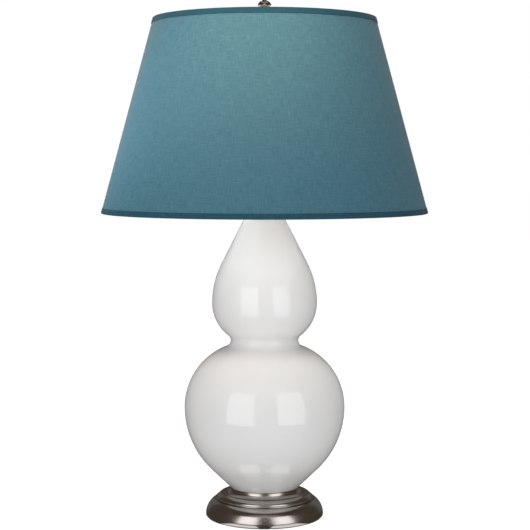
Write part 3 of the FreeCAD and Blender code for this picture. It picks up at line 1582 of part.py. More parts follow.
PIECES = [
    felt_pad,
    base_board,
    metal_foot,
    cord_bushing,
    iron_weight,
    weight_washer,
    pipe_nut,
    lamp_pipe,
    foot_gasket,
    gourd_body,
    neck_gasket,
    vase_cap,
    neck_spacer,
    harp_saddle,
    saddle_nut,
    socket_cap,
    cap_screw,
    socket_shell,
    shell_sleeve,
    socket_core,
    terminal_screws,
    screw_shell,
    centre_contact,
    switch_shaft,
    switch_knob,
    bulb_glass,
    bulb_cap,
    bulb_insulator,
    bulb_contact,
    harp,
    harp_stud,
    harp_ferrules,
    shade_fabric,
    shade_liner,
    shade_edges,
    spider_hub,
    spider_arms,
    finial,
    finial_insert,
]


def check_document():
    """Raises an error where an object failed, a sketch is loose or a cell differs from its value."""
    for item in doc.Objects:
        if {"Invalid", "Error"} & set(item.State):
            raise RuntimeError(f"{item.Name} failed: {item.State}")
        if item.TypeId == "Sketcher::SketchObject" and not item.FullyConstrained:
            raise RuntimeError(f"{item.Name} isn't fully constrained")
    for alias in level.aliases:
        if abs(level.table.get(alias) - getattr(level, alias).number) > 1e-6:
            raise RuntimeError(f"{alias} differs from its cell")


def write_parts():
    """Writes each body's shape to a file named as its node."""
    bodies = [item for item in doc.Objects if item.TypeId == "PartDesign::Body"]
    for body in bodies:
        if body.Shape.isNull() or not body.Shape.isValid() or not body.Shape.Solids:
            raise RuntimeError(f"{body.Label} has no valid shape")
    os.makedirs("parts", exist_ok=True)
    for body in bodies:
        body.Shape.exportStep(f"parts/{body.Label}.step")
    print(f"{len(bodies)} pieces written")


for make_piece in PIECES:
    make_piece()
doc.recompute()
check_document()
write_parts()
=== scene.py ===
import json
import logging
import math
from collections.abc import Callable, Iterator, Mapping, Sequence
from contextlib import contextmanager
from dataclasses import dataclass
from enum import Enum, IntEnum, member
from functools import cache
from typing import ClassVar

import bpy
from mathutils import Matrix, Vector

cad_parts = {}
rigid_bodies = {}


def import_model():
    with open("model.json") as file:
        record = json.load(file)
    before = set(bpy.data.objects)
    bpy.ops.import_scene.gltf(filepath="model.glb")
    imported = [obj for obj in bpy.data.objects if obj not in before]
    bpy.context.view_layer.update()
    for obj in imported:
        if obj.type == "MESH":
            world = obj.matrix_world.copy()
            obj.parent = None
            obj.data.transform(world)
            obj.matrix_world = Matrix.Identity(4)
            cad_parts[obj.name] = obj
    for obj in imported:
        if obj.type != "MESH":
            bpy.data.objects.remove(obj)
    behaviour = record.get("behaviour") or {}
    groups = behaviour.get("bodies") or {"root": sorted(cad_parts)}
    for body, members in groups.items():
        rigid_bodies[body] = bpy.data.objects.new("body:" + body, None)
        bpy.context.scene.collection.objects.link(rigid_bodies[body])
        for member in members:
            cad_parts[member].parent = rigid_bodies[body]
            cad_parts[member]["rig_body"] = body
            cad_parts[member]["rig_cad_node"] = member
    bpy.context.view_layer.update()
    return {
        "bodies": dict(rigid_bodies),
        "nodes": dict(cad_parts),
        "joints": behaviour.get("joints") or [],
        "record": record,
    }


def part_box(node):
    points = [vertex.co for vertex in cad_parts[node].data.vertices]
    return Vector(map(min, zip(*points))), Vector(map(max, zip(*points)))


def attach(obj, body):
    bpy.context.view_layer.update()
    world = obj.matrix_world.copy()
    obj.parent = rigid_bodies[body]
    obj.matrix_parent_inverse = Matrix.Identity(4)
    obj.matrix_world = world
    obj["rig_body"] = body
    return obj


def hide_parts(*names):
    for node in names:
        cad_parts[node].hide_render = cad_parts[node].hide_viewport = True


# Finishes, cloth and studio of the double gourd lamp. Lengths are in metres, or in millimetres
# where a class says so. +Z is up and the viewer stands at -Y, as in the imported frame.

log = logging.getLogger("double_gourd_lamp")

Colour = tuple[float, float, float]
Place = tuple[float, float, float]
Point = tuple[float, float]
Arc = tuple[float, float, float]
Piece = bpy.types.Object
Material = bpy.types.Material
NodeTree = bpy.types.NodeTree
NodeSocket = bpy.types.NodeSocket

MM = 0.001
WHITE = (1.0, 1.0, 1.0)


# Materials --------------------------------------------------------------------------------------


class Space(Enum):
    """Which coordinates a pattern follows."""

    OBJECT = "Object"
    CUT = "UV"


class Graph:
    """A node tree that is being wired up.

    Its ends, where it has them, are the sockets that it feeds in the last place.
    """

    ends: bpy.types.bpy_prop_collection

    def __init__(self, tree: NodeTree) -> None:
        """Keeps the tree of a material, a world or a group."""
        self.tree = tree

    def add(
        self, kind: str, inputs: Mapping[object, object] | Sequence[object] = (), **settings: object
    ) -> bpy.types.Node:
        """Adds a node and wires its inputs.

        Args:
            kind: The node's type without its ShaderNode prefix.
            inputs: Sockets or values for its inputs, by name or number, or simply in order.
            **settings: Attributes of the node and their values.

        Returns:
            The new node.
        """
        node = self.tree.nodes.new(kind if kind.startswith("NodeGroup") else f"ShaderNode{kind}")
        for name, value in settings.items():
            setattr(node, name, value)
        for key, source in inputs.items() if isinstance(inputs, Mapping) else enumerate(inputs):
            self.feed(node.inputs[key], source)
        return node

    def feed(self, target: NodeSocket, source: object) -> None:
        """Links a socket into another one, or sets a number, a vector or a colour on it.

        Args:
            target: The input socket.
            source: An output socket, or the value that the input gets.
        """
        if isinstance(source, NodeSocket):
            self.tree.links.new(source, target)
        else:
            target.default_value = (*source, 1.0) if target.type == "RGBA" else source

    def put(self, **values: object) -> None:
        """Feeds the sockets that the graph ends in, named with underscores for spaces."""
        for name, value in values.items():
            self.feed(self.ends[name.replace("_", " ")], value)

    def calculate(self, operation: str, *values: object) -> NodeSocket:
        """The result of a Math node on sockets or numbers."""
        return self.add("Math", values, operation=operation).outputs[0]

    def scaled(self, vector: NodeSocket, scale: Place) -> NodeSocket:
        """A vector whose parts are multiplied by three numbers."""
        return self.add("VectorMath", (vector, scale), operation="MULTIPLY").outputs[0]

    def noise(self, vector: NodeSocket, scale: object, detail: float = 2.0) -> NodeSocket:
        """A soft noise of a scale, with a number of octaves."""
        inputs = {"Vector": vector, "Scale": scale, "Detail": detail}
        return self.add("TexNoise", inputs).outputs["Fac"]

    def spread(self, value: NodeSocket, low: float, high: float) -> NodeSocket:
        """A value from 0 to 1 spread over another range."""
        inputs = {"Value": value, "To Min": low, "To Max": high}
        return self.add("MapRange", inputs).outputs["Result"]

    def tint(self, factor: NodeSocket, first: Colour, second: Colour) -> NodeSocket:
        """A mix of two colours: the first at 0 and the second at 1."""
        inputs = {"Factor": factor, 6: first, 7: second}
        return self.add("Mix", inputs, data_type="RGBA").outputs[2]


class EffectGraph(Graph):
    """A shader node group in the making, with its two inputs and its outputs."""

    def __init__(self, name: str, size: str, *results: str) -> None:
        """Makes the group.

        Args:
            name: The group's name.
            size: The name of the number that it takes besides the coordinates.
            *results: The names of the numbers that it puts out.
        """
        super().__init__(bpy.data.node_groups.new(name, "ShaderNodeTree"))
        sockets = [("Vector", "INPUT", "Vector"), (size, "INPUT", "Float")]
        sockets += [(result, "OUTPUT", "Float") for result in results]
        for label, way, kind in sockets:
            self.tree.interface.new_socket(label, in_out=way, socket_type=f"NodeSocket{kind}")
        given = self.add("NodeGroupInput").outputs
        self.place, self.size = given["Vector"], given[size]
        self.ends = self.add("NodeGroupOutput").inputs


def linen_group() -> NodeTree:
    """The plain weave of a linen cloth with its slubs, whose scales are per metre of cloth.

    Returns:
        A group that takes the threads' pitch and puts out the height and the tone.
    """
    graph = EffectGraph("Linen weave", "Pitch", "Height", "Tone")
    long, fine, wandering = 75.0, 680.0, 120.0
    wander = graph.spread(graph.noise(graph.place, wandering), -0.9, 0.9)
    parts = graph.add("SeparateXYZ", [graph.place]).outputs
    waves = []
    for axis in "XY":
        count = graph.calculate("DIVIDE", parts[axis], graph.size)
        count = graph.calculate("MULTIPLY", graph.calculate("ADD", count, wander), math.pi)
        waves.append(graph.calculate("SINE", count))
    lifted = graph.calculate("ABSOLUTE", graph.calculate("MULTIPLY", *waves))
    grains = [graph.scaled(graph.place, way) for way in ((long, fine, 1.0), (fine, long, 1.0))]
    slubs = graph.calculate("ADD", *(graph.noise(grain, 1.0, 3.0) for grain in grains))
    tone = graph.calculate("MINIMUM", graph.calculate("MULTIPLY_ADD", slubs, 1.9, -1.4), 1.0)
    height = graph.calculate("MULTIPLY_ADD", slubs, 0.6, lifted)
    graph.put(Height=height, Tone=graph.calculate("MAXIMUM", tone, 0.0))
    return graph.tree


def turned_group() -> NodeTree:
    """The fine rings that turning and brushing leave round the lamp's axis.

    Returns:
        A group that takes the rings' pitch and puts out the height and the tone.
    """
    graph = EffectGraph("Turned rings", "Pitch", "Height", "Tone")
    parts = graph.add("SeparateXYZ", [graph.place]).outputs
    squares = [graph.calculate("MULTIPLY", parts[axis], parts[axis]) for axis in "XY"]
    radius = graph.calculate("SQRT", graph.calculate("ADD", *squares))
    radius = graph.calculate("MAXIMUM", radius, MM)
    around = [graph.calculate("DIVIDE", parts[axis], radius) for axis in "XY"]
    slope = graph.calculate("MULTIPLY_ADD", radius, 0.7, parts["Z"])
    ring = graph.calculate("DIVIDE", slope, graph.size)
    turn = graph.add("CombineXYZ", [*around, ring]).outputs[0]
    fine = graph.noise(graph.scaled(turn, (0.12, 0.12, 1.0)), 1.0)
    broad = graph.noise(graph.scaled(turn, (1.5, 1.5, 0.06)), 1.0)
    tone = graph.calculate("MULTIPLY_ADD", broad, 0.5, graph.spread(fine, 0.0, 0.5))
    graph.put(Height=fine, Tone=tone)
    return graph.tree


def mottle_group() -> NodeTree:
    """Soft patches in which a colour or a gloss varies.

    Returns:
        A group that takes the patches' size and puts out a mask and a finer grain.
    """
    graph = EffectGraph("Mottle", "Size", "Mask", "Grain")
    scale = graph.calculate("DIVIDE", 1.0, graph.size)
    grain = graph.noise(graph.place, graph.calculate("MULTIPLY", scale, 9.0), 5.0)
    graph.put(Mask=graph.noise(graph.place, scale, 3.0), Grain=grain)
    return graph.tree


def thread_group() -> NodeTree:
    """A screw thread round the lamp's axis.

    Returns:
        A group that takes the thread's pitch and puts out the height.
    """
    graph = EffectGraph("Screw thread", "Pitch", "Height")
    parts = graph.add("SeparateXYZ", [graph.place]).outputs
    angle = graph.calculate("ARCTAN2", parts["Y"], parts["X"])
    turns = graph.calculate("DIVIDE", angle, math.tau)
    climb = graph.calculate("DIVIDE", parts["Z"], graph.size)
    place = graph.calculate("FRACT", graph.calculate("SUBTRACT", climb, turns))
    graph.put(Height=graph.calculate("PINGPONG", place, 0.5))
    return graph.tree


class Effect(Enum):
    """The shared effects, each with the function that builds its group."""

    LINEN = member(linen_group)
    TURNED = member(turned_group)
    MOTTLE = member(mottle_group)
    THREAD = member(thread_group)


@cache
def group_of(effect: Effect) -> NodeTree:
    """The node group of an effect, built on its first use."""
    return effect.value()


class Dressing(Graph):
    """A material in the making: its graph, its Principled shader's inputs and its effects."""

    def __init__(self, name: str, space: Space) -> None:
        """Makes the material.

        Args:
            name: The material's name.
            space: The coordinates that its effects follow.
        """
        self.material = bpy.data.materials.new(name)
        self.material.use_nodes = True
        super().__init__(self.material.node_tree)
        self.ends = self.tree.nodes["Principled BSDF"].inputs
        self.place = self.add("TexCoord").outputs[space.value]

    def effect(self, kind: Effect, **values: float) -> bpy.types.bpy_prop_collection:
        """The outputs of a shared effect, placed with these values of its inputs."""
        inputs = {"Vector": self.place, **values}
        return self.add("Group", inputs, node_tree=group_of(kind)).outputs

    def varied(self, mask: NodeSocket, value: float, low: float, high: float) -> NodeSocket:
        """A value that a mask takes from one share of it to another, and never past 1."""
        return self.spread(mask, value * low, min(1.0, value * high))

    def emboss(self, height: NodeSocket, depth: float, strength: float = 1.0) -> None:
        """Feeds a height from 0 to 1, with the depth of 1, to the shader's normal."""
        inputs = {"Height": height, "Distance": depth, "Strength": strength}
        self.put(Normal=self.add("Bump", inputs).outputs[0])


@dataclass(frozen=True)
class Finish:
    """A named finish and its main colour."""

    name: str
    colour: Colour
    space: ClassVar[Space] = Space.OBJECT

    def wire(self, dressing: Dressing) -> None:
        """Wires the material, which each kind of finish does in its own way."""
        raise NotImplementedError


@dataclass(frozen=True)
class Glaze(Finish):
    """A thick glossy glaze over white clay."""

    pooled: Colour
    roughness: float
    patch: float = 0.07

    def wire(self, dressing: Dressing) -> None:
        """Wires the glaze, its pools and its clear coat.

        Args:
            dressing: The material in the making.
        """
        patches = dressing.effect(Effect.MOTTLE, Size=self.patch)
        dressing.put(
            Base_Color=dressing.tint(patches["Mask"], self.colour, self.pooled),
            Roughness=dressing.varied(patches["Mask"], self.roughness, 0.7, 1.3),
            IOR=1.5,
            Coat_Weight=0.15,
            Coat_Roughness=0.03,
        )
        dressing.emboss(patches["Mask"], 0.35 * MM, 0.35)


@dataclass(frozen=True)
class TurnedMetal(Finish):
    """A metal that was turned and brushed round the lamp's axis."""

    deep: Colour
    roughness: float
    patch: float = 0.03
    pitch: float = 0.35 * MM
    depth: float = 0.02 * MM
    brushing: float = 0.75

    def wire(self, dressing: Dressing) -> None:
        """Wires the metal and the rings on it.

        Args:
            dressing: The material in the making.
        """
        rings = dressing.effect(Effect.TURNED, Pitch=self.pitch)
        patches = dressing.effect(Effect.MOTTLE, Size=self.patch)
        dressing.put(
            Base_Color=dressing.tint(rings["Tone"], self.deep, self.colour),
            Metallic=1.0,
            Roughness=dressing.varied(patches["Mask"], self.roughness, 0.8, 1.2),
            Anisotropic=self.brushing,
            Tangent=dressing.add("Tangent", direction_type="RADIAL", axis="Z").outputs[0],
        )
        dressing.emboss(rings["Height"], self.depth)


@dataclass(frozen=True)
class Metal(Finish):
    """A plain metal with a fine grain and duller patches, threaded if it has a pitch."""

    dull: Colour
    roughness: float
    grain: float = 0.01 * MM
    metallic: float = 1.0
    pitch: float = 0.0
    patch: float = 0.012

    def wire(self, dressing: Dressing) -> None:
        """Wires the metal with its grain or its thread.

        Args:
            dressing: The material in the making.
        """
        patches = dressing.effect(Effect.MOTTLE, Size=self.patch)
        dressing.put(
            Base_Color=dressing.tint(patches["Mask"], self.colour, self.dull),
            Metallic=self.metallic,
            Roughness=dressing.varied(patches["Mask"], self.roughness, 0.75, 1.3),
        )
        if self.pitch:
            thread = dressing.effect(Effect.THREAD, Pitch=self.pitch)
            dressing.emboss(thread["Height"], self.pitch)
        else:
            dressing.emboss(patches["Grain"], self.grain)


@dataclass(frozen=True)
class Moulded(Finish):
    """A moulded or pressed non-metal: plastic, rubber, board or glass-hard insulator."""

    second: Colour
    roughness: float
    grain: float = 0.03 * MM
    patch: float = 0.01

    def wire(self, dressing: Dressing) -> None:
        """Wires the moulding and its grain.

        Args:
            dressing: The material in the making.
        """
        patches = dressing.effect(Effect.MOTTLE, Size=self.patch)
        dressing.put(
            Base_Color=dressing.tint(patches["Mask"], self.colour, self.second),
            Roughness=dressing.varied(patches["Grain"], self.roughness, 0.85, 1.15),
        )
        dressing.emboss(patches["Grain"], self.grain)


@dataclass(frozen=True)
class Linen(Finish):
    """A dyed linen, woven of uneven threads."""

    thin: Colour
    pitch: float
    sheen: float
    space: ClassVar[Space] = Space.CUT

    def wire(self, dressing: Dressing) -> None:
        """Wires the linen and its weave.

        Args:
            dressing: The material in the making.
        """
        weave = dressing.effect(Effect.LINEN, Pitch=self.pitch)
        dressing.put(
            Base_Color=dressing.tint(weave["Tone"], self.colour, self.thin),
            Roughness=0.85,
            Sheen_Weight=self.sheen,
            Sheen_Roughness=0.45,
            Specular_IOR_Level=0.2,
        )
        dressing.emboss(weave["Height"], 0.12 * MM, 0.5)


@dataclass(frozen=True)
class Frosted(Finish):
    """Glass that is etched inside and lets light through softly."""

    roughness: float
    patch: float = 0.02

    def wire(self, dressing: Dressing) -> None:
        """Wires the glass and its bright coat.

        Args:
            dressing: The material in the making.
        """
        patches = dressing.effect(Effect.MOTTLE, Size=self.patch)
        dressing.put(
            Base_Color=self.colour,
            Roughness=dressing.varied(patches["Mask"], self.roughness, 0.8, 1.2),
            Transmission_Weight=0.35,
            IOR=1.45,
            Coat_Weight=0.6,
            Coat_Roughness=0.05,
        )
        dressing.emboss(patches["Grain"], 0.01 * MM)


GLAZE = Glaze("near-white glaze", (0.87, 0.872, 0.868), (0.84, 0.843, 0.84), 0.04)
DARK_NICKEL = TurnedMetal("brushed dark nickel", (0.53, 0.505, 0.475), (0.39, 0.355, 0.325), 0.19)
SATIN_NICKEL = TurnedMetal("satin nickel", (0.62, 0.58, 0.53), (0.5, 0.46, 0.42), 0.26)
ZINC = Metal("zinc plate", (0.66, 0.66, 0.64), (0.5, 0.5, 0.48), 0.34)
PIPE_THREAD = Metal(
    "threaded zinc plate", (0.62, 0.61, 0.57), (0.45, 0.44, 0.41), 0.36, pitch=0.94 * MM
)
IRON = Metal("cast iron", (0.1, 0.1, 0.1), (0.16, 0.13, 0.11), 0.65, 0.25 * MM, 0.8)
BRASS = Metal("plain brass", (0.78, 0.58, 0.27), (0.6, 0.43, 0.2), 0.28)
ALUMINIUM = Metal("rolled aluminium", (0.78, 0.78, 0.77), (0.66, 0.66, 0.65), 0.3)
ENAMEL = Metal("white enamel", (0.84, 0.84, 0.81), (0.78, 0.78, 0.75), 0.4, 0.02 * MM, 0.0)
SOLDER = Metal("solder", (0.7, 0.7, 0.68), (0.55, 0.55, 0.53), 0.4, 0.06 * MM)
LINER = Moulded("white liner", (0.88, 0.88, 0.85), (0.84, 0.84, 0.81), 0.55, 0.02 * MM, 0.05)
FELT = Moulded("black felt", (0.022, 0.022, 0.023), (0.045, 0.045, 0.047), 0.98, 0.35 * MM, 0.004)
BOARD = Moulded("pressed board", (0.27, 0.19, 0.13), (0.34, 0.25, 0.17), 0.9, 0.08 * MM, 0.006)
FIBRE = Moulded("fibre sleeve", (0.42, 0.33, 0.24), (0.5, 0.41, 0.31), 0.85, 0.05 * MM, 0.004)
RUBBER = Moulded("black rubber", (0.03, 0.03, 0.03), (0.05, 0.05, 0.05), 0.7, 0.04 * MM, 0.006)
PHENOLIC = Moulded("moulded black", (0.02, 0.018, 0.017), (0.035, 0.032, 0.03), 0.25, 0.01 * MM)
VITREOUS = Moulded(
    "black insulator glass", (0.015, 0.014, 0.018), (0.03, 0.028, 0.035), 0.12, 0.02 * MM
)
BULB_GLASS = Frosted("frosted glass", (0.93, 0.93, 0.91), 0.25)
TEAL_LINEN = Linen("teal linen", (0.037, 0.115, 0.16), (0.058, 0.16, 0.214), 0.75 * MM, 0.07)
TEAL_BAND = Linen("teal linen band", (0.009, 0.052, 0.08), (0.016, 0.07, 0.106), 0.75 * MM, 0.05)


@cache
def material_of(finish: Finish) -> Material:
    """The material of a finish, made on its first use.

    Args:
        finish: One of the finishes above.

    Returns:
        Its material.
    """
    dressing = Dressing(finish.name, finish.space)
    finish.wire(dressing)
    return dressing.material


# Modelling --------------------------------------------------------------------------------------

WELD = 0.001 * MM
CAD_WELD = 0.002 * MM
THREAD_WELD = 0.01 * MM
SMOOTH_BELOW = 32.0
ARC_STEP = 4.0


class Element(Enum):
    """What is selected in edit mode, with where the mesh keeps it."""

    FACE = "polygons"
    EDGE = "edges"


class Turn(IntEnum):
    """Which way an arc turns as its outline goes on."""

    LEFT = 1
    RIGHT = -1


class Edge(IntEnum):
    """The shade's two edges, named as their CAD nodes are."""

    TOP = 1
    BOTTOM = -1


def select_only(piece: Piece) -> None:
    """Selects one object and makes it active.

    Args:
        piece: The object.
    """
    bpy.ops.object.select_all(action="DESELECT")
    piece.select_set(True)
    bpy.context.view_layer.objects.active = piece


@contextmanager
def editing(piece: Piece) -> Iterator[None]:
    """Edit mode on one object, with all of its mesh selected.

    Args:
        piece: The object.
    """
    select_only(piece)
    bpy.ops.object.mode_set(mode="EDIT")
    bpy.ops.mesh.select_mode(type="VERT")
    bpy.ops.mesh.select_all(action="SELECT")
    yield
    bpy.ops.object.mode_set(mode="OBJECT")


def select_where(piece: Piece, kind: Element, wanted: Callable[[object], bool]) -> None:
    """Selects some faces or edges of a piece in edit mode.

    Args:
        piece: The piece.
        kind: Faces or edges.
        wanted: Whether a face or an edge is one of them, by its place.
    """
    bpy.ops.mesh.select_all(action="DESELECT")
    bpy.ops.mesh.select_mode(type=kind.name)
    bpy.ops.object.mode_set(mode="OBJECT")
    for element in getattr(piece.data, kind.value):
        element.select = wanted(element)
    bpy.ops.object.mode_set(mode="EDIT")


def climb(piece: Piece, edge: bpy.types.MeshEdge) -> float:
    """How much higher one end of a piece's edge is than the other."""
    first, second = (piece.data.vertices[index].co.z for index in edge.vertices)
    return abs(first - second)


def added(operator: Callable[..., set[str]], name: str, **settings: object) -> Piece:
    """Adds a primitive with nothing else selected.

    Args:
        operator: The operator that adds it.
        name: The new piece's name.
        **settings: The operator's settings.

    Returns:
        The new piece.
    """
    bpy.ops.object.select_all(action="DESELECT")
    operator(**settings)
    piece = bpy.context.object
    piece.name = name
    return piece


def settle(piece: Piece) -> None:
    """Moves a new piece's place and turn into its mesh."""
    select_only(piece)
    bpy.ops.object.transform_apply(location=True, rotation=True, scale=True)


def modify(piece: Piece, kind: str, **settings: object) -> None:
    """Applies a modifier to a piece.

    Args:
        piece: The piece.
        kind: The modifier's type.
        **settings: Its attributes and their values.
    """
    select_only(piece)
    modifier = piece.modifiers.new(kind, kind)
    for name, value in settings.items():
        setattr(modifier, name, value)
    bpy.ops.object.modifier_apply(modifier=modifier.name)


def thicken(piece: Piece, thickness: float, offset: float) -> None:
    """Gives a surface its thickness: outwards at 1, inwards at -1 and both ways at 0."""
    modify(piece, "SOLIDIFY", thickness=thickness, offset=offset, use_even_offset=True)


def finish_piece(piece: Piece, finish: Finish, body: str, *nodes: str) -> Piece:
    """Smooths and dresses a piece and lets it ride.

    Args:
        piece: The piece.
        finish: Its finish.
        body: The CAD body that it moves with.
        *nodes: The CAD nodes that it stands for.

    Returns:
        The piece.
    """
    select_only(piece)
    bpy.ops.object.shade_smooth_by_angle(angle=math.radians(SMOOTH_BELOW))
    piece.data.materials.clear()
    piece.data.materials.append(material_of(finish))
    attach(piece, body)
    if nodes:
        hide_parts(*nodes)
    log.info("%s: %d faces, rides on %s", piece.name, len(piece.data.polygons), body)
    return piece


def pulled(name: str, profile: Sequence[Point]) -> Piece:
    """A line of edges in the plane of X and Z, pulled from a single vertex.

    Args:
        name: The piece's name.
        profile: Its points of radius and height. A closed line ends where it starts.

    Returns:
        The piece.
    """
    radius, height = profile[0]
    start = (radius, 0, height)
    piece = added(bpy.ops.mesh.primitive_plane_add, name, size=MM, location=start)
    settle(piece)
    with editing(piece):
        bpy.ops.mesh.merge(type="CENTER")
        for (near, low), (far, high) in zip(profile, profile[1:]):
            step = (far - near, 0, high - low)
            bpy.ops.mesh.extrude_vertices_move(TRANSFORM_OT_translate={"value": step})
        bpy.ops.mesh.select_all(action="SELECT")
        bpy.ops.mesh.remove_doubles(threshold=WELD)
    return piece


def spun(name: str, profile: Sequence[Point], steps: int) -> Piece:
    """A surface spun round the lamp's axis.

    Args:
        name: The piece's name.
        profile: Its points of radius and height. A closed outline ends where it starts.
        steps: The number of steps of the full turn.

    Returns:
        The piece.
    """
    piece = pulled(name, profile)
    with editing(piece):
        bpy.ops.mesh.spin(steps=steps, angle=math.tau, center=(0, 0, 0), axis=(0, 0, 1))
        bpy.ops.mesh.select_all(action="SELECT")
        bpy.ops.mesh.remove_doubles(threshold=WELD)
        bpy.ops.mesh.normals_make_consistent(inside=False)
    return piece


def merged_node(nodes: dict[str, Piece], node: str) -> Piece:
    """A copy of a CAD node whose loose triangles are merged, so that it shades smoothly.

    Args:
        nodes: The frame's nodes.
        node: The node's name.

    Returns:
        The copy.
    """
    select_only(nodes[node])
    bpy.ops.object.duplicate()
    piece = bpy.context.object
    piece.name = f"{node}_finished"
    piece.parent = None
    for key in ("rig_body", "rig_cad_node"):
        del piece[key]
    if piece.data.has_custom_normals:
        bpy.ops.mesh.customdata_custom_splitnormals_clear()
    with editing(piece):
        bpy.ops.mesh.remove_doubles(threshold=CAD_WELD)
    return piece


def direction(first: Sequence[float], second: Sequence[float]) -> float:
    """The direction from one point of radius and height to another, in degrees."""
    return math.degrees(math.atan2(second[1] - first[1], second[0] - first[0]))


def swept(centre: Point, radius: float, start: float, end: float) -> list[Point]:
    """Points of an arc, evenly spaced.

    Args:
        centre: The arc's centre.
        radius: Its radius.
        start: The angle in degrees at which it starts.
        end: The angle in degrees at which it ends.

    Returns:
        The points of radius and height, both ends among them.
    """
    count = max(2, math.ceil(abs(end - start) / ARC_STEP))
    angles = [math.radians(start + (end - start) * share / count) for share in range(count + 1)]
    across, up = centre
    return [(across + radius * math.cos(angle), up + radius * math.sin(angle)) for angle in angles]


def traced(corners: Sequence[tuple[float, ...]]) -> list[Point]:
    """The points of an outline whose spans are straight or arcs.

    Args:
        corners: Each corner's radius and height, with the radius and the turn of the arc that
            leads to it where it isn't reached by a straight line.

    Returns:
        The outline's points.
    """
    points = [corners[0][:2]]
    for corner in corners[1:]:
        if len(corner) == 4:
            near, low = points[-1]
            far, high, radius, turn = corner
            half = math.hypot(far - near, high - low) / 2
            reach = math.sqrt(max(radius * radius - half * half, 0.0)) * turn / (2 * half)
            across = (near + far) / 2 - (high - low) * reach
            centre = (across, (low + high) / 2 + (far - near) * reach)
            start = direction(centre, (near, low))
            span = (direction(centre, (far, high)) - start) * turn % 360 * turn
            points.extend(swept(centre, radius, start, start + span)[1:])
        else:
            points.append(corner)
    return points


def upright(run: float, rise: float) -> float:
    """The radius of an arc that starts upright."""
    return (run * run + rise * rise) / (2 * run)


def bulging(across: float, up: float, bulge: float) -> float:
    """The radius of an arc that stands out of its chord by a given bulge."""
    return ((across * across + up * up) / 4 + bulge * bulge) / (2 * bulge)


# The lamp ---------------------------------------------------------------------------------------


@dataclass
class SubAssembly:
    """Pieces of the lamp that are dressed together."""

    frame: dict
    turn_steps: int = 192

    def body_of(self, node: str) -> str:
        """The name of the body that holds a node."""
        bodies = self.frame["record"]["behaviour"]["bodies"]
        return next(body for body, members in bodies.items() if node in members)

    def dress(self, finish: Finish, *names: str) -> None:
        """Dresses a merged copy of each node, whose own shape is final."""
        for name in names:
            finish_piece(merged_node(self.frame["nodes"], name), finish, self.body_of(name), name)

    def turn(self, node: str, outline: Sequence[Point], finish: Finish, edge: float) -> Piece:
        """Turns a closed outline round the axis in place of a node.

        Args:
            node: The node.
            outline: The closed outline without its last point, in millimetres.
            finish: The finish.
            edge: How wide its sharp edges are broken, in millimetres.

        Returns:
            The turned piece.
        """
        points = [(radius * MM, height * MM) for radius, height in (*outline, outline[0])]
        piece = spun(f"{node}_turned", points, self.turn_steps)
        modify(piece, "BEVEL", width=edge * MM, segments=3, limit_method="ANGLE")
        return finish_piece(piece, finish, self.body_of(node), node)


